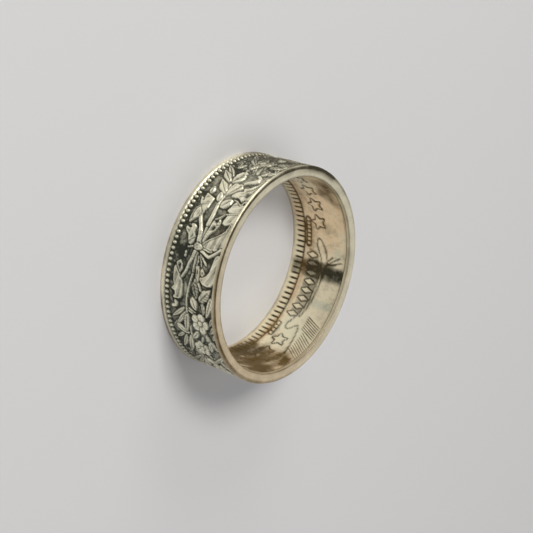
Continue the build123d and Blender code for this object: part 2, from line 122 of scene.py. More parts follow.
class Sheet:
    """A wall laid flat on an even grid, with its relief and its tone."""

    def __init__(self, columns, rows, radius, tone):
        self.degrees = (np.arange(columns) * 360 / columns)[None, :]
        self.heights = np.linspace(0, BAND_WIDTH, rows)[:, None]
        self.radius = radius
        self.relief = np.zeros((rows, columns))
        self.tone = np.full((rows, columns), tone)
        self.moat = np.zeros((rows, columns))
        self.every = 360

    def flat(self, degrees, up):
        """Millimetres from a place, or from its nearest copy: round the ring the short way, and up."""
        turn = (self.degrees - degrees + self.every / 2) % self.every - self.every / 2
        return np.radians(turn) * self.radius, self.heights - up

    def lay(self, inside, form, tone, edge=0.08, moat=0.08, depth=0.85):
        """Lay a form with its own tone; the moat falls off as a bell outside it, within four moats."""
        near = np.nonzero((inside > -4 * moat).any(axis=0))[0]
        form = np.broadcast_to(form, inside.shape)[:, near]
        tone = np.broadcast_to(tone, inside.shape)[:, near]
        inside, relief = inside[:, near], self.relief[:, near]
        cover = soft_step(inside / edge + 0.5)
        dip = depth * np.exp(-(np.clip(-inside, 0, None) / moat) ** 2) * (1 - cover)
        self.relief[:, near] = np.maximum(relief * (1 - dip), form * cover)
        self.moat[:, near] = np.maximum(self.moat[:, near] * (1 - cover), dip)
        self.tone[:, near] = self.tone[:, near] * (1 - cover) + tone * cover

    def carve(self, distance, half, depth, tone):
        """Cut a narrow groove whose depth falls off as a bell from a line, and darken it."""
        cut = np.exp(-(distance / half) ** 2)
        self.relief -= depth * cut
        self.tone += (tone - self.tone) * cut


BEAD_COUNT = 124
TOOTH_COUNT = 104
SHEET_ROWS = 164
COLUMNS_EACH = 16
WREATH_TONE = 0.80
LINING_TONE = 0.05
wreath = Sheet(BEAD_COUNT * COLUMNS_EACH, SHEET_ROWS, UPPER_OUTER - GROUND_DEPTH, WREATH_TONE)
lining = Sheet(TOOTH_COUNT * COLUMNS_EACH, SHEET_ROWS, (LIP_RADIUS + UPPER_BORE) / 2, LINING_TONE)
print("sheets", wreath.relief.shape, lining.relief.shape)

# %% [markdown]
# Worn metal is never even. Clouds are random values that are blurred; noise asked for point by point would
# look alike, but a blur of the whole array is quicker. The blur goes round the ring by a Fourier transform,
# which joins its ends, and up the wall by a matrix of bell-curve weights. The sunk ground of the wreath is
# uneven in that way.


# %% Blur and clouds
def blurred(sheet, values, spread, stretch=1):
    """A bell-curve blur: its spread is in millimetres up the wall, and stretched round the ring."""
    step = 2 * np.pi * sheet.radius / values.shape[1]
    waves = np.fft.rfftfreq(values.shape[1], step)
    fall = np.exp(-2 * (np.pi * spread * stretch * waves) ** 2)
    turned = np.fft.irfft(np.fft.rfft(values, axis=1) * fall, values.shape[1], axis=1)
    gap = (sheet.heights - sheet.heights.T) / spread
    weights = np.exp(-gap ** 2 / 2)
    return weights @ turned / weights.sum(axis=1, keepdims=True)


def cloudy(sheet, seed, spread, stretch=1):
    """Soft noise with a spread in millimetres: blurred random values, scaled to a deviation of one."""
    draws = np.random.default_rng(seed).standard_normal(sheet.relief.shape)
    values = blurred(sheet, draws, spread, stretch)
    return values / values.std()


wreath.relief += 0.010 * cloudy(wreath, seed=1, spread=0.10) + 0.006 * cloudy(wreath, seed=2, spread=0.05)
wreath.tone += 0.06 * cloudy(wreath, seed=3, spread=0.25) + 0.07 * cloudy(wreath, seed=4, spread=0.09)
print("ground from", round(float(wreath.relief.min()), 3), "to", round(float(wreath.relief.max()), 3), "mm")

# %% [markdown]
# ## Lines, leaves and panels
# Three kinds of form make the whole wreath. A strand is a line of short runs with a width. A leaf runs from
# its foot to its tip, with a width that swells as a sine. A panel is a polygon, for the broad stretches of
# ribbon. Bevelled curves and planes would do as well, but a distance on the sheet gives the edge, the dome
# and the moat of a form at once.


# %% Strands
def along_and_across(sheet, foot, tip):
    """Turn the flat sheet so that one axis runs from foot to tip; also the length between them."""
    x, y = sheet.flat(*foot)
    run = np.radians(tip[0] - foot[0]) * sheet.radius
    rise = tip[1] - foot[1]
    length = np.hypot(run, rise)
    return (x * run + y * rise) / length, (y * run - x * rise) / length, length


def distance_to_line(sheet, points):
    """The least distance from each point of the sheet to a line of straight runs."""
    best = np.full(sheet.relief.shape, np.inf)
    for foot, tip in zip(points, points[1:]):
        along, across, length = along_and_across(sheet, foot, tip)
        past = np.maximum(np.maximum(-along, along - length), 0)
        best = np.minimum(best, np.hypot(past, across))
    return best


def lay_strand(sheet, points, width, height, tone):
    """A strand with a round top: the root of one less the square of the distance in half widths."""
    distance = distance_to_line(sheet, points)
    dome = np.sqrt(np.clip(1 - (distance / (width / 2)) ** 2, 0, 1))
    sheet.lay(width / 2 - distance, height * (0.45 + 0.55 * dome), tone + 0.25 * (1 - dome), edge=0.06)


# %% Leaves
def lay_leaf(sheet, foot, tip, width, bend, lobes, tone, height=0.22):
    """A leaf: half width = width / 2 times sine(pi t^0.8)^0.75, t from foot to tip, about a bowed line.

    Lobes make the half width swell and shrink. The surface is domed on each side of a grooved midrib, slanted
    veins ripple it, and the rib, the veins and the tip are darker. The half on one side of the midrib is also
    darker, as painted shade.
    """
    along, across, length = along_and_across(sheet, foot, tip)
    share = along / length
    kept = np.clip(share, 0, 1)
    middle = 4 * bend * kept * (1 - kept)
    half = width / 2 * np.sin(np.pi * kept ** 0.8) ** 0.75
    if lobes:
        half = half * (0.80 + 0.30 * np.abs(np.cos(np.pi * lobes * kept ** 0.9 - 0.5)))
    side = np.abs(across - middle)
    beyond = np.clip(np.maximum(-share, share - 1), 0, None) * length
    inside = np.where(beyond > 0, -np.hypot(beyond, side), half - side)
    reach = side / np.maximum(half, 0.04)
    dome = np.sqrt(np.clip(1 - (1.15 * reach - 0.45) ** 2, 0, 1))
    rib = np.exp(-(side / 0.045) ** 2) * soft_step((0.92 - share) * 5)
    veins = 0.5 + 0.5 * np.cos(2 * np.pi * (along - 0.8 * side) / 0.32)
    form = height * (0.30 + 0.70 * dome) * (1 - 0.50 * rib) * (1 - 0.18 * veins)
    # Painted shade: the half of the leaf on one side of the midrib is darker by 0.10, as if lit from the
    # other side.
    shade = 0.50 * rib + 0.25 * veins * reach + 0.20 * kept ** 2 + 0.10 * (across < middle)
    sheet.lay(inside, form, tone + shade)


# %% Panels
def inside_polygon(sheet, points):
    """Distance to a polygon's edge, positive inside it: where an odd count of edges lies above."""
    x, y = sheet.flat(*points[0])
    corners = [(np.radians(d - points[0][0]) * sheet.radius, u - points[0][1]) for d, u in points]
    odd = np.zeros(sheet.relief.shape, bool)
    for (x0, y0), (x1, y1) in zip(corners, corners[1:] + corners[:1]):
        if x0 != x1:
            between = (x >= min(x0, x1)) & (x < max(x0, x1))
            odd ^= between & (y < y0 + (x - x0) * (y1 - y0) / (x1 - x0))
    distance = distance_to_line(sheet, points + points[:1])
    return np.where(odd, distance, -distance)


def lay_panel(sheet, points, height, tone, slant):
    """A panel of ribbon: dished, with a raised bright edge, and soft folds as a cosine across its slant."""
    inside = inside_polygon(sheet, points)
    x, y = sheet.flat(*points[0])
    turn = np.radians(slant)
    across = x * np.cos(turn) + y * np.sin(turn)
    fold = np.cos(2 * np.pi * across / 0.9 + 1.5 * y)
    fine = np.cos(2 * np.pi * across / 0.27 + 2.0 * x)
    edge = np.exp(-((inside - 0.07) / 0.06) ** 2)
    form = height * (0.74 + 0.26 * edge + 0.16 * fold + 0.05 * fine)
    sheet.lay(inside, form, (tone + 0.12 - 0.16 * fold - 0.07 * fine) * (1 - 0.9 * edge))


def lay_leaves(table, node=0.0):
    """Lay every leaf of a table on the wreath; its degrees count from a node of the branch."""
    for foot, foot_up, tip, tip_up, width, bend, lobes, tone in table:
        lay_leaf(wreath, (node + foot, foot_up), (node + tip, tip_up), width, bend, lobes, tone)


def lay_panels(table):
    """Lay every panel of a table on the wreath."""
    for height, tone, slant, points in table:
        lay_panel(wreath, points, height, tone, slant)


def carve_lines(sheet, table, depth, tone):
    """Cut every line of a table, which gives its half width and its points."""
    for half, points in table:
        sheet.carve(distance_to_line(sheet, points), half, depth, tone)


def short_run(degrees, up, half):
    """The two ends of a short level line about a place."""
    return [(degrees - half, up), (degrees + half, up)]


print("forms are ready")

# %% [markdown]
# ## The wreath
# The tables below hold the wreath as it lies flat: degrees round the ring, and millimetres up and across.
# They were charted, since no formula gives a hand-cut wreath. They are laid in order, so that what comes
# later lies on top. The long stems come first, each with its width and tone.

# %% Stems of the two branches
STEM_HEIGHT = 0.16
# Columns: width, tone, points in degrees and millimetres up
STEMS = [
    (0.24, 0.45, [(-1.0, 3.66), (-6.0, 3.64), (-12.0, 3.58)]),
    (0.38, 0.15, [(-12.0, 3.54), (-17.0, 3.56), (-24.0, 3.44)]),
    (0.22, 0.20, [(-24.0, 3.44), (-30.0, 3.52), (-34.0, 3.34), (-38.5, 3.08)]),
    (0.26, 0.30, [(-48.0, 3.22), (-52.0, 3.25), (-64.0, 3.38), (-76.0, 3.25)]),
    (0.24, 0.30, [(-76.0, 3.25), (-92.0, 3.38), (-108.0, 3.25), (-124.0, 3.38)]),
    (0.21, 0.30, [(-124.0, 3.38), (-140.0, 3.25), (-156.0, 3.38), (-168.0, 3.25)]),
    (0.28, 0.72, [(3.0, 3.60), (9.0, 3.62), (15.0, 3.60)]),
    (0.20, 0.20, [(14.0, 3.62), (18.0, 3.44), (22.0, 3.32), (27.0, 3.16), (33.0, 3.08)]),
    (0.22, 0.30, [(33.0, 3.10), (44.0, 3.28), (54.0, 3.12), (66.0, 3.12), (80.0, 3.25)]),
    (0.22, 0.30, [(80.0, 3.25), (96.0, 3.18), (112.0, 3.32), (128.0, 3.18)]),
    (0.20, 0.30, [(128.0, 3.18), (142.0, 3.32), (156.0, 3.18), (168.0, 3.32)]),
]
for width, tone, points in STEMS:
    lay_strand(wreath, points, width, STEM_HEIGHT, tone)
print(len(STEMS), "stems")

# %% [markdown]
# Low background leaves fill the ground away from the bow, in rows that slant up and down by turns. They are
# dark, and the wreath's own leaves cover most of them. Each is drawn once and repeats at every 20 degrees,
# because the same few leaves under the others aren't noticed. A seeded random shift makes the rows look
# grown.

# %% Background leaves
FILL_ROWS = [1.30, 1.75, 2.25, 2.75, 3.25, 3.75, 4.25, 4.75, 5.25, 5.75, 6.15]
FILL_EVERY = 20
FILL_LEAVES = 3
FILL_SLANT = 2.3
FILL_RUN = 6.0
FILL_WIDTH = 0.40
FILL_BEND = 0.05
FILL_TONE = 0.45
FILL_HEIGHT = 0.12
BOW_MIDDLE = 6
BOW_HALF = 54
BOW_FADE = 4
# Columns: shift in degrees, lift, rise from foot to tip
FILL_LEAST = (-1.2, -0.12, 0.25)
FILL_MOST = (1.2, 0.12, 0.65)
ground_relief, ground_tone = wreath.relief.copy(), wreath.tone.copy()
wreath.every = FILL_EVERY
chance = np.random.default_rng(8)
for level, up in enumerate(FILL_ROWS):
    for number in range(FILL_LEAVES):
        shift, lift, rise = chance.uniform(FILL_LEAST, FILL_MOST)
        foot = FILL_EVERY / FILL_LEAVES * number + FILL_SLANT * level + shift
        rise *= 1 if (level + number) % 2 else -1
        ends = (foot, up + lift - rise / 2), (foot + FILL_RUN, up + lift + rise / 2)
        lay_leaf(wreath, *ends, FILL_WIDTH, FILL_BEND, 0, FILL_TONE, FILL_HEIGHT)
wreath.every = 360
away = soft_step((np.abs((wreath.degrees - BOW_MIDDLE + 180) % 360 - 180) - BOW_HALF) / BOW_FADE)
wreath.relief = ground_relief + (wreath.relief - ground_relief) * away
wreath.moat *= away
wreath.tone = ground_tone + (wreath.tone - ground_tone) * away
print(FILL_LEAVES * len(FILL_ROWS) * 360 // FILL_EVERY, "background leaves")

# %% [markdown]
# Near the bow the leaves are set one by one. The left branch has lobed leaves and round buds, and the right
# branch slim leaves that fan out from a joint.

# %% Leaves by the bow
# Columns: foot degrees, foot up, tip degrees, tip up, width, bend, lobes, tone
LEFT_LEAVES = [
    (-50.3, 2.00, -55.4, 2.50, 0.42, 0.00, 0, 0.25),
    (-51.5, 3.20, -58.5, 3.75, 0.45, 0.05, 0, 0.40),
    (-49.0, 4.50, -56.5, 4.20, 0.34, 0.04, 0, 0.35),
    (-48.9, 4.95, -54.4, 5.75, 0.36, 0.00, 0, 0.20),
    (-50.5, 5.60, -56.5, 6.25, 0.34, 0.00, 0, 0.35),
    (-43.0, 2.60, -51.2, 1.02, 0.50, 0.00, 0, 0.35),
    (-39.0, 2.85, -46.4, 1.22, 0.66, 0.02, 2, 0.15),
    (-31.0, 3.45, -39.4, 1.90, 0.80, 0.06, 2, 0.10),
    (-28.6, 1.95, -33.8, 1.82, 0.56, 0.00, 0, 0.15),
    (-25.4, 3.28, -31.2, 2.92, 0.64, 0.00, 0, 0.10),
    (-22.6, 3.82, -28.4, 4.72, 0.92, 0.00, 0, 0.04),
]
RIGHT_LEAVES = [
    (33.6, 3.25, 35.2, 4.05, 0.16, 0.00, 0, 0.20),
    (32.2, 3.30, 34.0, 4.25, 0.16, 0.00, 0, 0.20),
    (26.8, 4.72, 19.2, 5.95, 0.98, 0.00, 2, 0.35),
    (16.0, 3.90, 21.6, 4.90, 0.46, 0.04, 2, 0.15),
    (17.6, 3.78, 25.9, 4.36, 0.72, 0.12, 0, 0.62),
    (26.8, 4.95, 34.0, 5.10, 0.42, 0.20, 0, 0.35),
    (25.8, 3.78, 32.2, 4.34, 0.80, 0.02, 0, 0.15),
    (22.6, 6.15, 34.6, 5.50, 0.62, 0.06, 0, 0.15),
    (33.6, 6.32, 39.2, 5.75, 0.36, 0.00, 0, 0.20),
    (38.6, 6.30, 43.4, 5.85, 0.42, 0.00, 0, 0.20),
    (43.2, 6.32, 47.6, 5.88, 0.34, 0.00, 0, 0.15),
    (45.2, 5.15, 52.0, 5.55, 0.48, 0.00, 0, 0.15),
    (49.0, 5.45, 54.8, 6.15, 0.50, 0.00, 0, 0.15),
    (50.0, 5.30, 57.6, 5.10, 0.52, 0.06, 0, 0.15),
    (47.8, 4.64, 52.4, 4.28, 0.26, 0.00, 0, 0.15),
    (45.0, 4.20, 51.4, 3.12, 0.54, 0.08, 0, 0.20),
    (32.8, 2.88, 40.6, 1.16, 0.40, 0.03, 0, 0.15),
    (40.2, 2.20, 45.8, 1.20, 0.24, 0.02, 0, 0.30),
    (35.0, 3.00, 45.4, 1.50, 0.42, 0.03, 0, 0.18),
    (44.2, 1.60, 48.4, 3.00, 0.66, -0.10, 0, 0.15),
    (35.6, 3.22, 47.6, 2.72, 0.70, -0.02, 0, 0.25),
    (49.8, 2.18, 54.4, 1.10, 0.36, 0.00, 0, 0.20),
    (50.2, 2.50, 61.4, 1.36, 0.46, 0.06, 0, 0.25),
    (49.2, 3.08, 64.0, 2.05, 0.60, 0.10, 0, 0.25),
    (58.0, 3.00, 66.5, 3.30, 0.40, 0.06, 0, 0.35),
    (59.0, 6.30, 69.0, 4.30, 0.46, 0.10, 0, 0.25),
]
lay_leaves(LEFT_LEAVES + RIGHT_LEAVES)
print(len(LEFT_LEAVES) + len(RIGHT_LEAVES), "leaves by the bow")

# %% [markdown]
# Four broad leaves of the left branch have outlines of their own, so they are panels with grooves for their
# midribs.

# %% Broad leaves
# Columns: height, tone, slant of the folds, outline
BROAD_LEAVES = [
    (0.18, 0.05, 70, [
        (-29.5, 3.60), (-31.5, 3.95), (-33.5, 4.25), (-35.5, 4.56), (-37.0, 4.64), (-38.8, 4.46),
        (-39.4, 4.24), (-38.3, 4.02), (-39.4, 3.76), (-38.6, 3.50), (-36.0, 3.40), (-32.0, 3.46)]),
    (0.19, 0.04, 60, [
        (-38.2, 3.10), (-39.5, 3.50), (-41.5, 3.76), (-43.5, 3.92), (-45.8, 3.86), (-46.6, 3.62),
        (-48.4, 3.64), (-49.4, 3.30), (-47.5, 3.04), (-44.5, 2.84), (-41.5, 2.86)]),
    (0.18, 0.06, 40, [
        (-48.8, 5.05), (-47.0, 5.55), (-43.8, 5.62), (-41.6, 5.30), (-40.4, 4.80), (-39.0, 4.44),
        (-40.4, 4.30), (-42.2, 4.55), (-43.8, 5.02), (-46.2, 5.20), (-47.9, 4.82)]),
    (0.18, 0.06, 75, [
        (-48.6, 6.06), (-46.0, 6.00), (-41.0, 5.84), (-38.2, 5.40), (-36.8, 4.86), (-35.0, 5.04),
        (-33.6, 4.56), (-31.8, 4.24), (-30.2, 4.14), (-29.8, 4.60), (-30.4, 5.00), (-29.6, 5.30),
        (-28.6, 5.62), (-30.6, 5.80), (-30.2, 6.30), (-47.5, 6.35)]),
]
lay_panels(BROAD_LEAVES)
print(len(BROAD_LEAVES), "broad leaves")

# %% [markdown]
# Further round the leaves are of one size and kind, so each branch repeats one spray at each of its nodes,
# instead of a longer table. The two branches almost meet behind the ring.

# %% Sprays along the branches
# Columns: those of the leaves by the bow, with the degrees counted from a node
LEFT_SPRAY = [
    (-13.5, 2.45, -18.5, 1.70, 0.52, 0.00, 0, 0.30),
    (-12.5, 4.00, -18.5, 4.15, 0.70, 0.00, 2, 0.20),
    (-13.0, 5.60, -20.0, 6.10, 0.45, 0.00, 0, 0.25),
    (-3.5, 5.60, -10.5, 6.20, 0.45, 0.00, 0, 0.25),
    (0.0, 3.25, -8.0, 1.80, 0.62, 0.05, 2, 0.15),
    (-6.5, 2.45, -12.5, 1.40, 0.50, 0.05, 0, 0.25),
    (-6.0, 4.80, -13.0, 5.85, 0.58, -0.12, 0, 0.15),
    (-1.0, 4.70, -3.5, 6.05, 0.60, 0.00, 2, 0.20),
    (-1.0, 3.50, -8.5, 4.70, 0.62, -0.12, 2, 0.15),
    (-2.0, 3.25, -11.0, 3.25, 0.90, 0.06, 3, 0.10),
]
RIGHT_SPRAY = [
    (12.5, 3.90, 18.5, 3.65, 0.42, 0.00, 0, 0.25),
    (11.0, 6.00, 18.0, 5.45, 0.45, 0.00, 0, 0.20),
    (-2.0, 5.60, 6.0, 6.05, 0.50, 0.00, 0, 0.20),
    (1.0, 3.50, 4.0, 4.70, 0.66, 0.00, 0, 0.15),
    (13.0, 1.90, 20.0, 1.45, 0.40, 0.00, 0, 0.30),
    (0.0, 3.10, 7.5, 1.30, 0.40, 0.05, 0, 0.20),
    (2.0, 3.25, 13.5, 2.50, 0.72, 0.12, 0, 0.15),
    (1.5, 3.10, 12.5, 1.45, 0.44, 0.05, 0, 0.20),
    (12.0, 1.80, 18.0, 2.85, 0.42, 0.06, 0, 0.25),
]
NODES = 5
NODE_STEP = 21.0
LEFT_NODES = [-141.0 + NODE_STEP * number for number in range(NODES)]
RIGHT_NODES = [150.0 - NODE_STEP * number for number in range(NODES)]
for nodes, spray in ((LEFT_NODES, LEFT_SPRAY), (RIGHT_NODES, RIGHT_SPRAY)):
    for node in nodes:
        lay_leaves(spray, node)
print(len(LEFT_NODES) + len(RIGHT_NODES), "sprays")

# %% [markdown]
# ## Flowers
# Open flowers sit along the right branch. A flower is five broad petals round an eye. Five leaves set in a
# circle would overlap at the eye, so the outline is one radius that swells at each petal, and a groove runs
# out between two petals.

# %% Open flowers
# Columns: degrees, up, radius, turn
FLOWERS = [
    (39.2, 4.68, 1.05, 20.0),
    (56.8, 4.05, 0.92, 40.0),
    (75.0, 4.68, 0.95, 0.0),
    (96.0, 4.55, 0.95, 30.0),
    (117.0, 4.68, 0.95, 60.0),
    (138.0, 4.55, 0.92, 10.0),
    (158.5, 4.68, 0.86, 45.0),
]


def lay_flower(sheet, degrees, up, radius, turn, petals=5):
    """A flower: its outline is the radius times 0.66 + 0.34 |cos|^0.6 of the petal angle.

    Each petal is dished and creased down its middle, and the eye is a low dome.
    """
    x, y = sheet.flat(degrees, up)
    reach = np.hypot(x, y)
    angle = (np.arctan2(y, x) - np.radians(turn)) * petals / 2
    outline = radius * (0.66 + 0.34 * np.abs(np.cos(angle)) ** 0.6)
    between = np.exp(-(np.cos(angle) * reach / 0.09) ** 2) * soft_step(reach / (0.35 * radius))
    crease = np.exp(-(np.sin(angle) * reach / 0.06) ** 2) * soft_step(reach / (0.5 * radius))
    dish = 0.62 + 0.38 * soft_step(reach / radius)
    form = 0.23 * dish * (1 - 0.75 * between) * (1 - 0.25 * crease)
    sheet.lay(outline - reach, form, 0.15 + 0.60 * between + 0.30 * crease + 0.25 * (1 - reach / radius))
    eye = radius * 0.26
    dome = np.sqrt(np.clip(1 - (reach / eye) ** 2, 0, 1))
    sheet.lay(eye - reach, 0.13 + 0.10 * dome, 0.35 - 0.25 * dome, edge=0.05, moat=0.07)


for degrees, up, radius, turn in FLOWERS:
    lay_flower(wreath, degrees, up, radius, turn)
print(len(FLOWERS), "flowers")

# %% [markdown]
# ## The ribbon bow
# The bow ties the two branches. Its loops and its broad ends are panels, its folds and edges are narrow
# strands, and a knot covers where they cross. Each panel has its height, tone and the slant of its folds.

# %% Panels of the bow
# Columns: height, tone, slant of the folds, outline
RIBBON_PANELS = [
    (0.17, 0.22, 20, [
        (-27.0, 6.35), (-22.0, 6.35), (-20.8, 5.20), (-21.8, 4.80), (-23.5, 4.95), (-25.5, 4.98),
        (-28.2, 5.15), (-26.6, 5.80)]),
    (0.18, 0.20, 70, [
        (-21.6, 6.35), (-15.3, 6.35), (-15.2, 5.90), (-13.9, 5.45), (-14.3, 5.05), (-16.2, 5.02),
        (-18.9, 5.12), (-19.7, 4.95), (-20.5, 5.60)]),
    (0.17, 0.22, 84, [
        (-15.3, 6.35), (-4.0, 6.35), (-1.0, 5.85), (0.2, 5.20), (0.2, 4.40), (-0.6, 3.85), (-1.4, 3.85),
        (-3.0, 4.12), (-5.0, 4.58), (-7.0, 5.12), (-9.0, 5.56), (-11.0, 5.88), (-15.0, 6.04)]),
    (0.17, 0.22, 10, [
        (-19.3, 4.80), (-17.0, 4.60), (-14.3, 4.86), (-12.0, 4.78), (-10.0, 4.62), (-8.5, 4.38),
        (-6.0, 4.14), (-2.2, 3.85), (-3.4, 3.70), (-9.0, 3.84), (-12.0, 3.94), (-15.5, 4.00),
        (-17.5, 4.35)]),
    (0.17, 0.22, 60, [
        (1.2, 6.35), (14.0, 6.35), (17.2, 6.00), (18.1, 5.45), (17.6, 4.95), (16.2, 4.60), (15.0, 4.45),
        (14.3, 4.60), (13.9, 4.90), (12.4, 5.25), (10.4, 5.50), (7.4, 5.58), (2.5, 5.72), (1.4, 5.90)]),
    (0.10, 0.35, 20, [(9.8, 4.62), (12.0, 5.00), (13.6, 4.80), (13.9, 4.60), (12.4, 4.45), (11.0, 4.42)]),
    (0.12, 0.50, 15, [
        (9.2, 4.20), (12.0, 4.36), (16.4, 4.40), (17.4, 4.40), (15.0, 4.00), (11.0, 3.90), (9.4, 3.76)]),
    (0.17, 0.20, 20, [
        (-26.6, 2.66), (-20.5, 2.66), (-18.5, 2.52), (-16.2, 2.42), (-14.5, 2.20), (-13.2, 1.95),
        (-11.5, 1.62), (-10.1, 1.40), (-14.5, 1.30), (-17.0, 1.34), (-18.8, 1.52), (-20.5, 1.68),
        (-22.5, 1.50), (-26.0, 1.20), (-25.0, 1.62), (-28.6, 1.62)]),
    (0.17, 0.36, 80, [
        (-20.2, 1.82), (-17.6, 2.24), (-14.6, 2.14), (-12.4, 1.66), (-15.4, 1.50), (-18.4, 1.58)]),
    (0.16, 0.25, 75, [
        (11.8, 1.52), (14.0, 1.76), (16.0, 2.12), (17.5, 2.32), (19.5, 2.52), (21.8, 2.62), (26.5, 2.60),
        (28.2, 2.42), (29.2, 2.10), (29.5, 1.55), (28.4, 1.50), (27.2, 1.72), (25.4, 1.70), (24.9, 1.25),
        (23.8, 1.32), (22.5, 1.60), (20.0, 1.40), (13.5, 1.36)]),
    (0.12, 0.45, 40, [
        (8.8, 1.92), (10.5, 2.26), (13.5, 2.32), (15.5, 2.08), (13.5, 1.82), (12.0, 1.60), (10.4, 1.50)]),
    (0.12, 0.45, 40, [(-3.7, 2.78), (-1.8, 2.78), (0.2, 2.58), (-0.4, 2.24), (-2.0, 2.30)]),
    (0.16, 0.30, 80, [
        (-10.5, 2.26), (-9.3, 2.50), (-6.5, 2.52), (-4.2, 2.76), (-1.2, 2.18), (-4.4, 1.95),
        (-5.6, 1.62), (-7.2, 1.40), (-8.6, 1.45), (-7.8, 1.80), (-8.4, 2.05), (-9.6, 1.80), (-10.5, 1.90)]),
    (0.20, 0.12, 15, [
        (-0.4, 3.74), (-4.0, 3.58), (-7.0, 3.42), (-10.0, 3.12), (-13.0, 2.78), (-16.4, 2.44),
        (-14.4, 2.24), (-12.0, 2.50), (-9.5, 2.80), (-5.0, 3.06), (1.6, 3.16)]),
    (0.17, 0.34, 15, [
        (2.0, 3.55), (5.0, 3.40), (8.0, 3.22), (10.0, 3.06), (13.0, 2.96), (16.5, 2.62), (17.7, 2.40),
        (17.0, 2.24), (14.0, 2.58), (10.0, 2.80), (5.0, 3.02), (2.0, 3.14)]),
]
lay_panels(RIBBON_PANELS)
print(len(RIBBON_PANELS), "panels of ribbon")

# %% Strands, knot and berries of the bow
# Columns: width, height, tone, points
RIBBON_STRANDS = [
    (0.12, 0.22, 0.00, [
        (-15.2, 6.02), (-11.0, 5.84), (-9.0, 5.52), (-7.0, 5.06), (-5.0, 4.52), (-3.0, 4.08),
        (-1.2, 3.82)]),
    (0.09, 0.20, 0.00, [(-20.8, 1.72), (-18.5, 1.42), (-15.0, 1.34), (-11.0, 1.44)]),
    (0.13, 0.22, 0.00, [(-21.6, 6.20), (-20.4, 5.40), (-19.5, 4.86), (-17.3, 4.60), (-15.7, 4.10)]),
    (0.30, 0.22, 0.20, [
        (-1.6, 6.10), (0.4, 5.75), (2.0, 5.40), (3.5, 5.00), (2.8, 4.55), (2.0, 4.25), (1.6, 3.95)]),
    (0.13, 0.20, 0.10, [(0.4, 5.20), (1.1, 4.92), (0.5, 4.50), (0.4, 4.10)]),
    (0.14, 0.20, 0.10, [(3.4, 3.98), (5.0, 4.40), (7.8, 4.96)]),
    (0.12, 0.16, 0.35, [(4.2, 3.95), (6.5, 4.30), (9.0, 4.45)]),
    (0.12, 0.14, 0.35, [(4.5, 3.85), (7.0, 3.95), (9.0, 3.90)]),
    (0.14, 0.20, 0.15, [(0.2, 3.05), (0.8, 2.75), (1.5, 2.35)]),
    (0.34, 0.20, 0.20, [(31.0, 1.78), (32.0, 1.92), (33.2, 1.80), (33.9, 1.42)]),
    (0.10, 0.18, 0.05, [
        (-28.7, 4.75), (-28.3, 5.20), (-26.4, 5.78), (-28.9, 5.92), (-28.7, 6.18), (-30.2, 5.92)]),
]
for width, height, tone, points in RIBBON_STRANDS:
    lay_strand(wreath, points, width, height, tone)
KNOT = [(-1.6, 3.74), (-0.2, 4.10), (1.2, 3.95), (1.9, 3.50), (1.4, 3.06), (-0.6, 3.00), (-2.0, 3.25)]
lay_panel(wreath, KNOT, 0.22, 0.15, 80)
# Columns: degrees, up, radius
BERRIES = [(4.5, 2.30, 0.13), (6.0, 2.32, 0.12), (-13.9, 4.62, 0.10)]
HOLES = [(-15.1, 4.32, 0.16), (-11.1, 4.38, 0.18), (-33.0, 5.66, 0.30), (-48.9, 3.22, 0.10),
         (-24.4, 1.66, 0.10)]
for degrees, up, radius in BERRIES:
    lay_strand(wreath, short_run(degrees, up, 0.2), 2 * radius, 0.18, 0.05)
carve_lines(wreath, [(radius, short_run(degrees, up, 0.3)) for degrees, up, radius in HOLES], 0.10, 1.0)

# Columns: half width, points
MIDRIBS = [
    (0.11, [(-46.2, 3.56), (-43.0, 3.34), (-41.0, 3.20), (-38.2, 3.10)]),
    (0.05, [(-43.4, 3.38), (-44.2, 3.74)]),
    (0.05, [(-41.4, 3.24), (-42.4, 3.60)]),
    (0.09, [(-37.8, 4.28), (-33.5, 3.96), (-29.6, 3.62)]),
    (0.09, [(-45.6, 6.10), (-41.0, 6.02), (-37.0, 5.70), (-35.4, 5.34)]),
    (0.04, [(-36.6, 6.10), (-34.0, 5.90), (-31.0, 5.05)]),
    (0.05, [(-27.4, 4.40), (-24.6, 4.16)]),
    (0.06, [(1.4, 3.10), (-4.0, 2.92), (-9.0, 2.72)]),
]
carve_lines(wreath, MIDRIBS, 0.08, 0.85)
print(len(RIBBON_STRANDS), "strands, a knot,", len(BERRIES), "berries and", len(HOLES), "holes")

# %% [markdown]
# ## Beads and rims
# The coin's border became a row of beads. Spheres set round in a loop would be meshes of their own; in the
# sheet they grow out of the ground. A bead is half an ellipsoid: its height falls as the square root of one
# less the squares of the two distances from its middle. Both plain rims stand as high as the coin's own
# edge did.

# %% Beads and rims outside
BEAD_HALF_WIDTH = 0.16
BEAD_HALF_HEIGHT = 0.235
BEAD_UP = 0.67
BEAD_RELIEF = 0.20
BEAD_TOP = 1.00
bead_pitch = 2 * np.pi * (REST_OUTER - GROUND_DEPTH) / BEAD_COUNT
place = (wreath.degrees * BEAD_COUNT / 360) % 1 - 0.5
squares = (place * bead_pitch / BEAD_HALF_WIDTH) ** 2 + ((wreath.heights - BEAD_UP) / BEAD_HALF_HEIGHT) ** 2
dome = np.sqrt(np.clip(1 - squares, 0, 1))
beads = wreath.heights < BEAD_TOP
wreath.relief = np.where(beads, BEAD_RELIEF * dome, wreath.relief)
wreath.tone = np.where(beads, 1 - 1.1 * soft_step(dome * 1.8 - 0.55), wreath.tone)
rest_rim = soft_step((REST_RIM - wreath.heights) / 0.05 + 0.5)
upper_rim = soft_step((wreath.heights - BAND_WIDTH + UPPER_RIM) / 0.06 + 0.5)
rims = np.maximum(rest_rim, upper_rim)
wreath.relief = wreath.relief * (1 - rims) + GROUND_DEPTH * rims
wreath.tone = wreath.tone * (1 - rims) + 0.12 * rims
print("bead pitch", round(bead_pitch, 3), "mm")

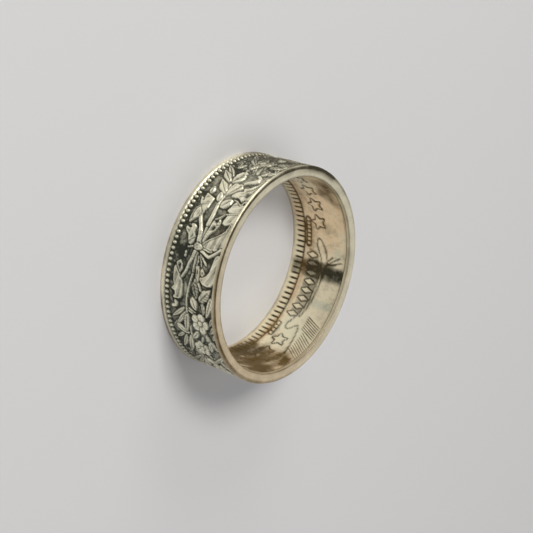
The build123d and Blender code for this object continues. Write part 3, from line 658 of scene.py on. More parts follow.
# %% [markdown]
# ## The lining
# Inside, teeth stand over the lip. A border of stars follows them all the way round, but for one arch with
# a row of plain lozenges below it. These forms are low, so each is laid nearly flat and gets a dark line
# round its outline, where tarnish has gathered on the real one.

# %% Teeth
TOOTH_RELIEF = 0.13
GAP_HALF = 0.125
tooth_pitch = 2 * np.pi * LIP_RADIUS / TOOTH_COUNT
place = np.abs((lining.degrees * TOOTH_COUNT / 360) % 1 - 0.5) * tooth_pitch
above_lip = lining.heights - LIP_HEIGHT
gap_half = GAP_HALF * (0.55 + 0.45 * soft_step(above_lip / 0.80))
gap = soft_step((place - tooth_pitch / 2 + gap_half) / 0.07 + 0.5) * soft_step(above_lip / 0.12)
body = soft_step((RECESS_TOP - lining.heights) / 0.12 + 0.5)
teeth = lining.heights < RECESS_TOP + 0.10
lining.relief = np.where(teeth, TOOTH_RELIEF * (1 - gap) * body, lining.relief)
lining.tone = np.where(teeth, 0.05 + np.maximum(0.95 * gap, 0.60 * (1 - body)), lining.tone)
print("tooth pitch", round(tooth_pitch, 3), "mm")

# %% Stars
STAR_COUNT = 22
STAR_POINTS = 5
STAR_RADIUS = 0.80
STAR_WAIST = 0.50
STAR_UP = 3.05
FIRST_STAR = 220.0
LAST_STAR = 498.0


def star_outline(degrees):
    """Corners of a star with one point down, in degrees and millimetres: two radii by turns."""
    corners = np.arange(STAR_POINTS * 2)
    reach = np.where(corners % 2 == 0, STAR_RADIUS, STAR_RADIUS * STAR_WAIST)
    turn = -np.pi / 2 + corners * np.pi / STAR_POINTS
    across = np.degrees(reach * np.cos(turn) / lining.radius)
    return list(zip(degrees + across, STAR_UP + reach * np.sin(turn)))


def lay_outlined(inside, height, tone, half, depth):
    """Lay a low form on the lining, with a dark line cut just outside its edge."""
    lining.lay(inside, height, tone)
    lining.carve(inside + 0.05, half, depth, 0.95)


for degrees in np.linspace(FIRST_STAR, LAST_STAR, STAR_COUNT):
    lay_outlined(inside_polygon(lining, star_outline(degrees)), 0.07, 0.02, 0.08, 0.04)
print(STAR_COUNT, "stars")

# %% The arch
ARCH_LOWER = [(152.0, 3.72), (151.0, 3.42), (149.0, 3.20), (147.5, 2.95), (147.8, 2.66), (149.5, 2.52),
              (152.0, 2.54), (155.0, 2.74), (160.0, 3.06), (165.0, 3.26), (172.0, 3.42), (180.0, 3.50),
              (189.0, 3.54), (195.0, 3.48), (198.5, 3.26), (202.0, 2.95), (205.0, 2.78), (207.5, 2.80)]
ARCH_UPPER = [(158.0, 3.30), (162.0, 3.46), (168.0, 3.62), (174.0, 3.76), (182.0, 3.84), (190.0, 4.02),
              (195.0, 4.14), (200.0, 3.96), (204.0, 3.68), (208.0, 3.26), (209.2, 3.02), (207.5, 2.80)]
for points in (ARCH_LOWER, ARCH_UPPER):
    lining.carve(distance_to_line(lining, points), 0.09, 0.06, 0.92)
print("arch of", len(ARCH_LOWER) + len(ARCH_UPPER), "points")

# %% The lozenges and the pellets
LOZENGES = 8
LOZENGE_HALF_WIDTH = 0.27
LOZENGE_HALF_HEIGHT = 0.58
LOZENGE_FIRST = 158.5
LOZENGE_SPAN = 39
LOZENGE_UP = 2.40
LOZENGE_RISE = 0.32
UNDER_ARCH = [(156.0, 2.05), (158.0, 2.95), (166.0, 3.20), (180.0, 3.42), (192.0, 3.42), (200.0, 2.95),
              (201.0, 1.95), (179.0, 2.05)]
UNDER_ARCH_TONE = 0.42
lining.tone += UNDER_ARCH_TONE * soft_step(inside_polygon(lining, UNDER_ARCH) / 0.2 + 0.5)
wide = np.degrees(LOZENGE_HALF_WIDTH / lining.radius)
for number in range(LOZENGES):
    share = number / (LOZENGES - 1)
    degrees = LOZENGE_FIRST + LOZENGE_SPAN * share
    up = LOZENGE_UP + LOZENGE_RISE * np.sin(np.pi * share)
    outline = [(degrees + wide, up), (degrees, up + LOZENGE_HALF_HEIGHT), (degrees - wide, up),
               (degrees, up - LOZENGE_HALF_HEIGHT)]
    lay_outlined(inside_polygon(lining, outline), 0.08, 0.05, 0.07, 0.03)

# Columns: first degrees, last degrees, up, count, tone of the ground between them
PELLET_ROWS = [(140.5, 149.0, 1.75, 4, 0.30), (204.5, 220.5, 1.82, 7, 0.75)]
for first, last, up, count, ground in PELLET_ROWS:
    panel = 0.36 - distance_to_line(lining, [(first - 0.5, up), (last + 0.5, up)])
    lining.tone += (ground - lining.tone) * soft_step(panel / 0.1 + 0.5)
    for degrees in np.linspace(first, last, count):
        inside = 0.17 - distance_to_line(lining, short_run(degrees, up, 0.1))
        lay_outlined(inside, 0.08, 0.05, 0.07, 0.03)
print(LOZENGES, "lozenges and", sum(row[3] for row in PELLET_ROWS), "pellets")

# %% The rays and the lip
# Columns: first foot degrees, foot up, step, shift of the tip, tip up, count, half width, tone
RAY_FANS = [
    (134.6, 4.66, 1.75, -5.6, 6.05, 9, 0.052, 0.70),
    (151.2, 4.25, 1.45, -4.4, 5.90, 7, 0.058, 0.95),
]
for first, foot_up, step, shift, tip_up, count, half, tone in RAY_FANS:
    for number in range(count):
        foot = first + step * number
        ray = distance_to_line(lining, [(foot, foot_up), (foot + shift, tip_up)])
        lining.carve(ray, half, 0.04, tone)
# Columns: half width, points
LONE_LINES = [
    (0.13, [(193.9, 4.20), (194.9, 5.10)]),
    (0.07, [(194.4, 4.70), (196.9, 5.75)]),
    (0.08, [(194.3, 4.25), (199.4, 5.45)]),
    (0.10, [(195.0, 4.08), (198.8, 4.65)]),
    (0.10, [(129.5, 4.70), (139.0, 4.35), (150.5, 3.90)]),
]
carve_lines(lining, LONE_LINES, 0.04, 0.80)
lip = soft_step((LIP_HEIGHT - lining.heights) / 0.06 + 0.5)
lining.relief = lining.relief * (1 - lip) + RECESS_DEPTH * lip
lining.tone = lining.tone * (1 - lip) + 0.10 * lip
print(sum(fan[5] for fan in RAY_FANS), "rays and", len(LONE_LINES), "lone lines")

# %% [markdown]
# ## Where tarnish stays and where hands polish
# Tarnish stays low and beside steep edges, and wear brightens what stands proud. The Pointiness of
# Blender's Geometry node shows hollows too, but it depends on how fine the mesh is. So both come from
# comparing the relief with a blurred copy of itself.


# %% Hollows and wear
def tarnish_and_shade(sheet, depth, seed):
    """The tone, darker in hollows and moats and brighter on what stands proud, with soft clouds."""
    near = blurred(sheet, sheet.relief, 0.10)
    wide = blurred(sheet, sheet.relief, 0.30)
    hollow = np.clip((near - sheet.relief) / depth, 0, 1)
    proud = np.clip((sheet.relief - near) / depth, 0, 1)
    high = np.clip((sheet.relief - wide) / depth, -1, 1)
    clouds = 0.08 * cloudy(sheet, seed, spread=0.35) + 0.06 * cloudy(sheet, seed + 1, spread=0.08)
    return np.clip(sheet.tone + 0.50 * hollow + 0.55 * sheet.moat - 0.50 * proud - 0.12 * high + clouds, 0, 1)


wreath_dark = tarnish_and_shade(wreath, 0.07, 11)
lining_dark = tarnish_and_shade(lining, 0.05, 21)
print("mean tarnish", [round(float(dark.mean()), 3) for dark in (wreath_dark, lining_dark)])

# %% [markdown]
# ## Stains, painted shade and painted reflection
# Handling left broad stains: outside, dull zones over parts of the wreath, and inside, brown ones low on one
# side. The other marks are painted light. Outside, zones darker round 10 and 80 degrees are painted shade,
# and zones lighter round -40 and 52 degrees are painted highlight, where the light falls less or more.
# Inside, a dark band near 190 degrees is a painted reflection, and a lighter patch round 145 degrees is a
# painted highlight. A noise texture would put them anywhere, so each is a soft ellipse on the sheet, which
# adds darkness, or takes it away below zero. Its last value says how warm the metal looks there. Inside, the
# marks are squared as they build up: one less the square of what is left bright. That keeps the middle of a
# mark even and its edge soft.

# %% Stains, painted shade and painted reflection
# Columns: degrees, up, half width in degrees, half height, darkness, warmth
# Dull zones, with painted shade darker round 10 and 80 degrees and painted highlight lighter round -40 and 52
# degrees.
OUTER_STAINS_AND_SHADE = [
    (10.0, 2.60, 22.0, 2.0, 0.16, 0.0),
    (-2.0, 0.20, 24.0, 0.5, 0.30, 0.1),
    (14.0, 4.70, 6.0, 1.0, 0.15, 0.2),
    (23.0, 2.90, 7.0, 0.4, -0.24, 0.0),
    (-86.0, 3.60, 26.0, 5.0, 0.68, 0.25),
    (-55.0, 2.00, 12.0, 1.6, 0.18, 0.1),
    (-40.0, 4.00, 12.0, 2.6, -0.10, 0.1),
    (-10.0, 5.10, 3.6, 0.7, 0.10, 0.2),
    (52.0, 3.00, 16.0, 4.0, -0.05, 0.0),
    (80.0, 3.00, 20.0, 4.0, 0.15, 0.1),
]
# Brown stains, with a painted reflection in the dark band near 190 degrees and a painted highlight in the
# lighter patch round 145 degrees.
INNER_STAINS_AND_REFLECTIONS = [
    (187.0, 3.90, 3.8, 4.4, 0.42, 0.3),
    (191.0, 3.70, 3.2, 4.4, 0.50, 0.3),
    (188.6, 5.30, 4.4, 1.4, 0.20, 0.1),
    (225.0, 3.40, 26.0, 3.2, 0.01, 0.9),
    (145.0, 3.00, 16.0, 2.2, -0.10, 0.2),
    (109.0, 3.20, 24.0, 5.0, 0.42, 1.0),
    (102.0, 3.60, 17.0, 5.0, 0.42, 1.0),
    (122.0, 4.70, 7.0, 2.4, 0.24, 1.0),
    (119.0, 1.90, 10.0, 1.4, 0.32, 0.7),
    (115.0, 5.50, 4.0, 1.2, -0.28, 0.9),
    (140.0, 1.30, 18.0, 0.4, 0.20, 1.0),
    (180.0, 1.60, 24.0, 0.4, 0.08, 0.9),
    (212.0, 1.90, 14.0, 0.7, 0.12, 1.0),
    (252.0, 5.50, 14.0, 1.2, 0.38, 0.9),
    (240.0, 1.60, 20.0, 0.6, 0.10, 1.0),
    (169.0, 5.00, 3.0, 1.6, 0.10, 0.0),
    (200.0, 5.30, 5.0, 0.6, 0.05, 0.2),
    (60.0, 3.00, 30.0, 2.0, 0.15, 0.8),
    (300.0, 3.00, 30.0, 2.0, 0.12, 0.6),
]


def stains_and_painted_light(sheet, marks, base):
    """Darkness and warmth from soft ellipses: a soft step falls with the distance in half widths.

    Clouds make the edge ragged, and streaks along the ring mottle what is warm.
    """
    dark = np.zeros(sheet.relief.shape)
    warm = np.full(sheet.relief.shape, base)
    streaks = cloudy(sheet, seed=6, spread=0.16, stretch=3)
    ragged = 0.12 * cloudy(sheet, seed=5, spread=0.50) + 0.04 * streaks
    for degrees, up, half_degrees, half_up, darkness, warmth in marks:
        x, y = sheet.flat(degrees, up)
        reach = np.sqrt((x / np.radians(half_degrees) / sheet.radius) ** 2 + (y / half_up) ** 2)
        spot = soft_step((1.35 - reach + ragged) / 0.9)
        dark = dark + darkness * spot * (1 + 0.18 * warmth * streaks)
        warm = warm + (warmth - warm) * spot
    return dark, warm


LINING_WARMTH = 0.34
WREATH_WARMTH = 0.08
# The painted shade, painted highlight and painted reflection are added to the darkness along with the stains.
stain_and_reflection_dark, lining_warm = stains_and_painted_light(lining, INNER_STAINS_AND_REFLECTIONS, LINING_WARMTH)
stain_and_reflection_depth = 1 - (1 - np.clip(stain_and_reflection_dark, 0, 1)) ** 2 + np.minimum(stain_and_reflection_dark, 0)
lining_dark = np.clip(lining_dark + stain_and_reflection_depth * (1 - 0.5 * lip), 0, 1)
outer_stain_and_shade, wreath_warm = stains_and_painted_light(wreath, OUTER_STAINS_AND_SHADE, WREATH_WARMTH)
wreath_dark = np.clip(wreath_dark + outer_stain_and_shade, 0, 1)
print(len(OUTER_STAINS_AND_SHADE), "stains outside and", len(INNER_STAINS_AND_REFLECTIONS), "inside")

# %% [markdown]
# ## The mesh
# The sheets are finer than the mesh needs to be: as meshes they would have more than a million triangles.
# The mesh takes its columns in whole numbers for each bead and each tooth, with more of them where the ring
# is seen from the front. Every value is read off the sheets between their grid points. The rows follow the
# wall's profile, close together where it turns a corner.

# %% Columns and rows
FRONT_HALF = 100
FINE_COLUMNS = 8
OUTER_COARSE = 5
INNER_COARSE = 4
OUTER_FIELD_ROWS = 67
INNER_FIELD_ROWS = 40
RIM_TONES = (0.10, 0.20, 0.50, 0.90, 1.00)


def columns_of(count, front, fine, coarse):
    """Degrees of the columns: each of the count pieces is cut alike, in fine ones near the front angle."""
    middles = (np.arange(count) + 0.5) * 360 / count
    away = np.abs((middles - front + 180) % 360 - 180)
    pieces = np.where(away < FRONT_HALF, fine, coarse)
    starts = np.concatenate([[0], np.cumsum(pieces)])
    return np.interp(np.arange(starts[-1]), starts, np.arange(count + 1) * 360 / count)


def outer_rows():
    """Rows up the outer wall: height, radius less the relief, share of relief, and the tone of a plain row.

    The quarter circle of the upper rim is its centre plus the round times the sine and cosine of the angle.
    """
    turn = np.linspace(0.15, np.pi / 2, 5)
    centre = UPPER_OUTER - RIM_ROUND
    field = np.linspace(0.30, BAND_WIDTH - RIM_ROUND - 0.02, OUTER_FIELD_ROWS)
    rows = [(0.0, REST_OUTER - EDGE_BREAK - 0.10, 0, 0.10),
            (0.0, REST_OUTER - EDGE_BREAK, 0, 0.30),
            (EDGE_BREAK * 0.3, REST_OUTER - EDGE_BREAK * 0.3, 0, 0.10),
            (EDGE_BREAK, REST_OUTER, 0, 0.05),
            (0.18, REST_OUTER, 0, 0.05)]
    rows += [(height, outer_ground(height), 1, 0) for height in field]
    rows += [(BAND_WIDTH - RIM_ROUND + RIM_ROUND * np.sin(a), centre + RIM_ROUND * np.cos(a), 0, tone)
             for a, tone in zip(turn, RIM_TONES)]
    rows += [(BAND_WIDTH, centre - 0.07, 0, 0.90), (BAND_WIDTH, centre - 0.17, 0, 0.15)]
    return np.array(rows).T


def inner_rows():
    """Rows down the inner wall: height, plain radius, share of relief, and the tone of a plain row."""
    field = np.linspace(FIELD_TOP - 0.05, 0.30, INNER_FIELD_ROWS)
    rows = [(BAND_WIDTH, UPPER_BORE + 0.22, 0, 0.08),
            (BAND_WIDTH, UPPER_BORE + 0.10, 0, 0.20),
            (BAND_WIDTH, UPPER_BORE + 0.02, 0, 0.55),
            (BAND_WIDTH - 0.02, UPPER_BORE, 0, 0.55),
            (BAND_WIDTH - 0.08, UPPER_BORE - 0.015, 0, 0.25),
            (FIELD_TOP + 0.06, UPPER_BORE - BEVEL_DEPTH, 0, 0.20),
            (FIELD_TOP + 0.01, UPPER_BORE - BEVEL_DEPTH + 0.035, 0, 1.0)]
    rows += [(height, float(inner_ground(height)), 1, 0) for height in field]
    rows += [(0.18, LIP_RADIUS, 0, 0.10),
             (EDGE_BREAK, LIP_RADIUS, 0, 0.10),
             (EDGE_BREAK * 0.3, LIP_RADIUS + EDGE_BREAK * 0.3, 0, 0.15),
             (0.0, LIP_RADIUS + EDGE_BREAK, 0, 0.30),
             (0.0, LIP_RADIUS + EDGE_BREAK + 0.10, 0, 0.10)]
    return np.array(rows).T


outer_degrees = columns_of(BEAD_COUNT, 0, FINE_COLUMNS, OUTER_COARSE)
inner_degrees = columns_of(TOOTH_COUNT, 180, FINE_COLUMNS, INNER_COARSE)
outer_heights, outer_radii, outer_share, outer_tone = outer_rows()
inner_heights, inner_radii, inner_share, inner_tone = inner_rows()
print("outer", len(outer_heights), "by", len(outer_degrees))
print("inner", len(inner_heights), "by", len(inner_degrees))


# %% Points and faces
def read_sheet(sheet, values, degrees, heights):
    """Values between the sheet's grid points, as a mean of the four nearest weighted by closeness."""
    across = degrees / 360 * values.shape[1]
    up = np.clip(heights / BAND_WIDTH * (values.shape[0] - 1), 0, values.shape[0] - 1.001)
    column, row = np.floor(across).astype(int), np.floor(up).astype(int)
    beside = (column + 1) % values.shape[1]
    right, above = (across - column)[None, :], (up - row)[:, None]
    lower = values[row][:, column] * (1 - right) + values[row][:, beside] * right
    upper = values[row + 1][:, column] * (1 - right) + values[row + 1][:, beside] * right
    return lower * (1 - above) + upper * above


def wall_points(degrees, heights, radius):
    """Points in metres: the radius turned round the axis, with angle 0 at -Y."""
    turn = np.radians(degrees)[None, :]
    levels = np.broadcast_to(heights[:, None], radius.shape)
    return np.stack([radius * np.sin(turn), -radius * np.cos(turn), levels], axis=-1).reshape(-1, 3) / 1000


def wall_quads(rows, columns, start):
    """Quads of a wall that closes on itself: a corner, the next one round, and the two of the next row."""
    row, column = np.meshgrid(np.arange(rows - 1), np.arange(columns), indexing="ij")
    here = start + row * columns + column
    beside = start + row * columns + (column + 1) % columns
    return np.stack([here, beside, beside + columns, here + columns], axis=-1).reshape(-1, 4)


def stitch(first_start, first_degrees, second_start, second_degrees):
    """Triangles between two rings: each edge of one joins the other's point nearest its middle."""
    first_count, second_count = len(first_degrees), len(second_degrees)
    ends = np.concatenate([first_degrees, [360]])
    middles = (ends[:-1] + ends[1:]) / 2
    places = np.interp(middles, np.concatenate([second_degrees, [360]]), np.arange(second_count + 1))
    apex = np.floor(places + 0.5).astype(int)
    edge = np.arange(first_count)
    one = np.stack([first_start + edge, first_start + (edge + 1) % first_count,
                    second_start + apex % second_count], axis=-1)
    other = np.arange(second_count)
    corner = np.searchsorted(apex, other, side="right")
    two = np.stack([first_start + corner % first_count, second_start + (other + 1) % second_count,
                    second_start + other], axis=-1)
    return np.concatenate([one, two])


outer_relief = read_sheet(wreath, blurred(wreath, wreath.relief, 0.025), outer_degrees, outer_heights)
inner_relief = read_sheet(lining, blurred(lining, lining.relief, 0.03), inner_degrees, inner_heights)
outer_wall = outer_radii[:, None] + outer_relief * outer_share[:, None]
inner_wall = inner_radii[:, None] - inner_relief * inner_share[:, None]
points = np.concatenate([wall_points(outer_degrees, outer_heights, outer_wall),
                         wall_points(inner_degrees, inner_heights, inner_wall)])
outer_count, outer_columns, inner_columns = outer_wall.size, len(outer_degrees), len(inner_degrees)
quads = np.concatenate([wall_quads(len(outer_heights), outer_columns, 0),
                        wall_quads(len(inner_heights), inner_columns, outer_count)])
triangles = np.concatenate([
    stitch(outer_count - outer_columns, outer_degrees, outer_count, inner_degrees),
    stitch(len(points) - inner_columns, inner_degrees, 0, outer_degrees)])
print(len(points), "points,", 2 * len(quads) + len(triangles), "triangles")


# %% Into Blender
def ring_mesh(name, points, quads, triangles):
    """One mesh from arrays, with smooth faces."""
    mesh = bpy.data.meshes.new(name)
    corners = np.concatenate([quads.ravel(), triangles.ravel()])
    sizes = np.concatenate([np.full(len(quads), 4), np.full(len(triangles), 3)])
    mesh.vertices.add(len(points))
    mesh.vertices.foreach_set("co", points.ravel())
    mesh.loops.add(len(corners))
    mesh.loops.foreach_set("vertex_index", corners.astype(np.int32))
    mesh.polygons.add(len(sizes))
    mesh.polygons.foreach_set("loop_start", (np.cumsum(sizes) - sizes).astype(np.int32))
    mesh.polygons.foreach_set("use_smooth", np.ones(len(sizes), bool))
    mesh.update(calc_edges=True)
    mesh.validate()
    return mesh


def add_attribute(mesh, name, outer_values, inner_values):
    """One value for each point of both walls, which a material reads by name."""
    attribute = mesh.attributes.new(name, "FLOAT", "POINT")
    values = np.concatenate([outer_values.ravel(), inner_values.ravel()])
    attribute.data.foreach_set("value", values.astype(np.float32))


ring = bpy.data.objects.new("silver_band", ring_mesh("silver_band", points, quads, triangles))
bpy.context.scene.collection.objects.link(ring)
print("mesh", len(ring.data.polygons), "faces")

# %% Tarnish, painted shade and warmth on the mesh
RIM_SHADE = 0.22
RIM_SHADE_DEGREES = 80.0
RIM_WARMTH = 0.25
SHADE_WARMTH = 0.6
RIM_TARNISH = 0.08
WORN_DEGREES = -15


def rim_shade(degrees):
    """The plain rims are duller on one side: the square of half of one plus a cosine about it."""
    return (0.5 + 0.5 * np.cos(np.radians(degrees - RIM_SHADE_DEGREES))) ** 2


def with_rims(share, values, plain):
    """Values off the sheet where a row carries relief, and plain ones on the rims."""
    return np.where(share[:, None] > 0, values, plain)


outer_shade, inner_shade = rim_shade(outer_degrees), rim_shade(inner_degrees)
patches = 0.13 * cloudy(wreath, seed=31, spread=0.70) + 0.04 * cloudy(wreath, seed=33, spread=0.20)
patches *= np.where(wreath.heights < BAND_WIDTH / 2, 1.0, 0.25)
inner_patches = 0.03 * cloudy(lining, seed=32, spread=0.40)
outer_clouds = read_sheet(wreath, patches + outer_stain_and_shade, outer_degrees, outer_heights)
inner_clouds = read_sheet(lining, inner_patches, inner_degrees, inner_heights)
worn = 0.5 + 0.5 * np.cos(np.radians(outer_degrees - WORN_DEGREES))
outer_plain = outer_tone[:, None] * worn + RIM_TARNISH + outer_clouds + RIM_SHADE * outer_shade
inner_plain = inner_tone[:, None] + RIM_TARNISH + inner_clouds + RIM_SHADE * inner_shade
outer_dark = read_sheet(wreath, wreath_dark, outer_degrees, outer_heights)
inner_dark = read_sheet(lining, lining_dark, inner_degrees, inner_heights)
outer_warm = read_sheet(wreath, wreath_warm, outer_degrees, outer_heights)
inner_warm = read_sheet(lining, lining_warm, inner_degrees, inner_heights)
# The tarnish attribute also carries the painted shade, painted highlight and painted reflection from the
# sheets.
add_attribute(ring.data, "tarnish_and_shade",
              with_rims(outer_share, outer_dark, np.clip(outer_plain, 0, 1)),
              with_rims(inner_share, inner_dark, np.clip(inner_plain, 0, 1)))
add_attribute(ring.data, "warmth",
              with_rims(outer_share, outer_warm, RIM_WARMTH + SHADE_WARMTH * outer_shade),
              with_rims(inner_share, inner_warm, RIM_WARMTH + SHADE_WARMTH * inner_shade))
print("mean warmth", [round(float(warm.mean()), 3) for warm in (outer_warm, inner_warm)])

# %% [markdown]
# ## Silver
# Polished silver reflects nearly all light and is a little warm where it has aged. Its tarnish is a thin dark
# layer that is rougher and reflects little. Two materials on one mesh would meet in a hard line, so one
# shader mixes the two by the tarnish attribute, broken up by noise. That attribute also carries painted
# shade, painted highlight and a painted reflection, which the shader turns into the same darker or brighter
# metal. The finest pits are too small for the mesh and are a bump.


# %% The tarnish group
def new_group(name, inputs, outputs):
    """A shader node group with named inputs and outputs; inputs are (name, kind, default)."""
    group = bpy.data.node_groups.new(name, "ShaderNodeTree")
    for title, kind, default in inputs:
        socket = group.interface.new_socket(title, in_out="INPUT", socket_type=kind)
        socket.default_value = default
    for title, kind in outputs:
        group.interface.new_socket(title, in_out="OUTPUT", socket_type=kind)
    return group, group.nodes.new("NodeGroupInput"), group.nodes.new("NodeGroupOutput")


def feed(tree, socket, value):
    """Link a socket to another, or set its value."""
    if hasattr(value, "default_value"):
        tree.links.new(value, socket)
    else:
        socket.default_value = value


def math_node(tree, operation, first, second, clamp=False):
    """One math node; an input is a socket or a number."""
    node = tree.nodes.new("ShaderNodeMath")
    node.operation = operation
    node.use_clamp = clamp
    feed(tree, node.inputs[0], first)
    feed(tree, node.inputs[1], second)
    return node.outputs[0]


def mix_colour(tree, share, first, second):
    """A colour mix; share, first and second are sockets or plain values."""
    node = tree.nodes.new("ShaderNodeMix")
    node.data_type = "RGBA"
    feed(tree, node.inputs["Factor"], share)
    feed(tree, node.inputs[6], first)
    feed(tree, node.inputs[7], second)
    return node.outputs[2]


def noise_node(tree, vector, scale, detail, roughness=0.5):
    """A noise texture on Object coordinates, as its value."""
    node = tree.nodes.new("ShaderNodeTexNoise")
    node.inputs["Scale"].default_value = scale
    node.inputs["Detail"].default_value = detail
    node.inputs["Roughness"].default_value = roughness
    tree.links.new(vector, node.inputs["Vector"])
    return node.outputs["Fac"]


# Waves of noise in a metre, and the share of specks
PATCH_SCALE = 900
SPECK_SCALE = 5200
SPECKS = 0.30


def tarnish_group():
    """Breaks up the tarnish mask with patches and specks, and gives the height of fine pits."""
    group, given, wanted = new_group(
        "tarnish_breakup",
        [("Vector", "NodeSocketVector", (0, 0, 0)), ("Mask", "NodeSocketFloat", 0.0),
         ("Patches", "NodeSocketFloat", 0.3)],
        [("Mask", "NodeSocketFloat"), ("Grain", "NodeSocketFloat")])
    patches = noise_node(group, given.outputs["Vector"], PATCH_SCALE, 4)
    specks = noise_node(group, given.outputs["Vector"], SPECK_SCALE, 3, 0.6)
    lift = math_node(group, "MULTIPLY", math_node(group, "SUBTRACT", patches, 0.5), given.outputs["Patches"])
    fine = math_node(group, "MULTIPLY", math_node(group, "SUBTRACT", specks, 0.5), SPECKS)
    total = math_node(group, "ADD", math_node(group, "ADD", given.outputs["Mask"], lift), fine, clamp=True)
    group.links.new(total, wanted.inputs["Mask"])
    group.links.new(specks, wanted.inputs["Grain"])
    return group


TARNISH = tarnish_group()
print("group", TARNISH.name)

# %% The silver material
SILVER = (0.97, 0.945, 0.73, 1)
SILVER_WARM = (1.00, 0.79, 0.52, 1)
OXIDE = (0.029, 0.034, 0.022, 1)
OXIDE_WARM = (0.120, 0.070, 0.012, 1)
PATCHES = 0.40
METAL = 0.80
METAL_LOST_TO_TARNISH = 0.2
METAL_LOST_TO_WARMTH = 0.1
ROUGHNESS = 0.29
ROUGHNESS_OF_TARNISH = 0.22
PIT_STRENGTH = 0.25
PIT_DEPTH = 0.00002


def silver_material():
    """Worn silver: one shader, whose colour, metal and roughness follow the tarnish and the warmth."""
    material = bpy.data.materials.new("worn_silver")
    material.use_nodes = True
    tree = material.node_tree
    shader = tree.nodes["Principled BSDF"]
    place = tree.nodes.new("ShaderNodeTexCoord").outputs["Object"]
    mask = tree.nodes.new("ShaderNodeAttribute")
    mask.attribute_name = "tarnish_and_shade"
    warmth = tree.nodes.new("ShaderNodeAttribute")
    warmth.attribute_name = "warmth"
    group = tree.nodes.new("ShaderNodeGroup")
    group.node_tree = TARNISH
    group.inputs["Patches"].default_value = PATCHES
    tree.links.new(place, group.inputs["Vector"])
    tree.links.new(mask.outputs["Fac"], group.inputs["Mask"])
    clean = mix_colour(tree, warmth.outputs["Fac"], SILVER, SILVER_WARM)
    dark = mix_colour(tree, warmth.outputs["Fac"], OXIDE, OXIDE_WARM)
    colour = mix_colour(tree, group.outputs["Mask"], clean, dark)
    tree.links.new(colour, shader.inputs["Base Color"])
    to_tarnish = math_node(tree, "MULTIPLY", group.outputs["Mask"], METAL_LOST_TO_TARNISH)
    to_warmth = math_node(tree, "MULTIPLY", warmth.outputs["Fac"], METAL_LOST_TO_WARMTH)
    metal = math_node(tree, "SUBTRACT", METAL, math_node(tree, "ADD", to_tarnish, to_warmth))
    tree.links.new(metal, shader.inputs["Metallic"])
    rougher = math_node(tree, "MULTIPLY", group.outputs["Mask"], ROUGHNESS_OF_TARNISH)
    tree.links.new(math_node(tree, "ADD", ROUGHNESS, rougher), shader.inputs["Roughness"])
    bump = tree.nodes.new("ShaderNodeBump")
    bump.inputs["Strength"].default_value = PIT_STRENGTH
    bump.inputs["Distance"].default_value = PIT_DEPTH
    tree.links.new(group.outputs["Grain"], bump.inputs["Height"])
    tree.links.new(bump.outputs["Normal"], shader.inputs["Normal"])
    return material


ring.data.materials.append(silver_material())
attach(ring, "root")
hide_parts(BAND)
print("material", ring.data.materials[0].name)

# %% [markdown]
# ## Floor and light
# The ring lies on a pale seamless floor. A high window is the main light. A low lamp on the same side
# grazes the wreath, a wide one overhead lights the inside, and two weak ones soften the front and pick out
# the upper rim. A picture of a studio could light the ring instead, but five plain lights are easier to
# move.

# %% Floor
FLOOR_HALF = 1.5
PAPER = (0.62, 0.612, 0.612, 1)
PAPER_ROUGHNESS = 0.9
floor_mesh = bpy.data.meshes.new("floor")
corners = [(x * FLOOR_HALF, y * FLOOR_HALF, 0) for x, y in ((-1, -1), (1, -1), (1, 1), (-1, 1))]
floor_mesh.from_pydata(corners, [], [(0, 1, 2, 3)])
floor = bpy.data.objects.new("floor", floor_mesh)
bpy.context.scene.collection.objects.link(floor)
paper = bpy.data.materials.new("pale_paper")
paper.use_nodes = True
paper.node_tree.nodes["Principled BSDF"].inputs["Base Color"].default_value = PAPER
paper.node_tree.nodes["Principled BSDF"].inputs["Roughness"].default_value = PAPER_ROUGHNESS
floor_mesh.materials.append(paper)
print("floor", 2 * FLOOR_HALF, "m wide")


# %% Lights
def soft_light(name, place, size, power, colour):
    """A square area light, aimed at the ring; place and size in metres."""
    light = bpy.data.lights.new(name, "AREA")
    light.size = size
    light.energy = power
    light.color = colour
    holder = bpy.data.objects.new(name, light)
    holder.location = place
    holder.rotation_euler = (Vector((0, 0, 0.003)) - Vector(place)).to_track_quat("-Z", "Y").to_euler()
    bpy.context.scene.collection.objects.link(holder)


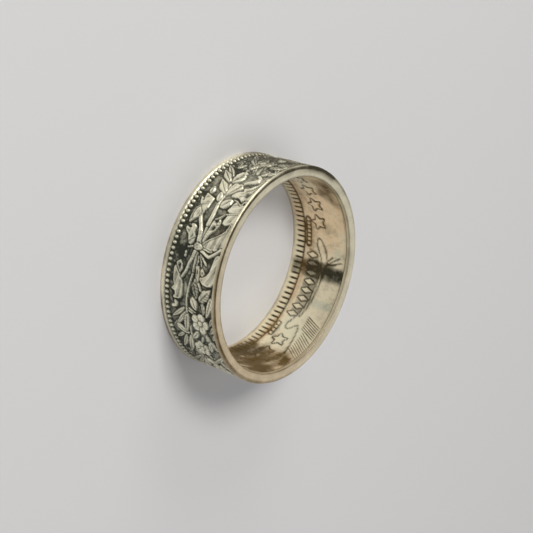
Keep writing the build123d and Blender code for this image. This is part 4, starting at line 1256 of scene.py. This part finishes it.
# Columns: name, place and size in metres, power in watts, colour
LIGHTS = [
    ("window", (-0.26, -0.22, 0.38), 0.18, 1.75, (1.0, 0.99, 0.97)),
    ("side", (-0.46, -0.18, 0.14), 0.22, 0.8, (1.0, 0.99, 0.97)),
    ("fill", (0.22, -0.36, 0.20), 0.30, 0.12, (0.97, 0.98, 1.0)),
    ("ceiling", (0.10, 0.07, 0.48), 0.36, 0.72, (1.0, 0.99, 0.98)),
    ("rim_card", (0.0, 0.42, 0.31), 0.40, 0.16, (1.0, 0.98, 0.95)),
]
for name, place, size, power, colour in LIGHTS:
    soft_light(name, place, size, power, colour)
print(len(LIGHTS), "lights")

# %% Sky
SKY = (0.93, 0.95, 1.0, 1)
SKY_STRENGTH = 0.14
world = bpy.data.worlds.new("studio")
world.use_nodes = True
world.node_tree.nodes["Background"].inputs["Color"].default_value = SKY
world.node_tree.nodes["Background"].inputs["Strength"].default_value = SKY_STRENGTH
bpy.context.scene.world = world
bpy.context.scene.view_settings.view_transform = "Standard"
print("sky", world.name)

# %% [markdown]
# ## Camera
# The camera could be aimed by a Track To constraint, but that can't turn the picture. So its three axes are
# written down as they were fitted to the photo: it keeps the photo's angle to the ring, which stands in the
# picture as it does there.

# %% Camera
CAMERA_RIGHT = Vector((-0.31217, 0.55935, 0.76790))
CAMERA_UP = Vector((-0.95003, -0.18380, -0.25233))
CAMERA_BACK = Vector((0.0, -0.80830, 0.58877))
CAMERA_DISTANCE = 166.4
AIM_RIGHT = 0.512
AIM_UP = 0.056
PHOTO_WIDTH = 533
FOCAL_PIXELS = 1773
SENSOR = 36.0
camera = bpy.data.cameras.new("camera")
camera.sensor_width = SENSOR
camera.lens = FOCAL_PIXELS / PHOTO_WIDTH * SENSOR
camera.clip_start = 0.005
viewer = bpy.data.objects.new("camera", camera)
centre = Vector((0, 0, BAND_WIDTH / 2)) + CAMERA_RIGHT * AIM_RIGHT + CAMERA_UP * AIM_UP
rows = [list(row) + [0] for row in zip(CAMERA_RIGHT, CAMERA_UP, CAMERA_BACK)]
turn = Matrix(rows + [[0, 0, 0, 1]])
viewer.matrix_world = Matrix.Translation((centre + CAMERA_BACK * CAMERA_DISTANCE) / 1000) @ turn
bpy.context.scene.collection.objects.link(viewer)
bpy.context.scene.camera = viewer
print("camera", [round(v * 1000, 1) for v in viewer.location])
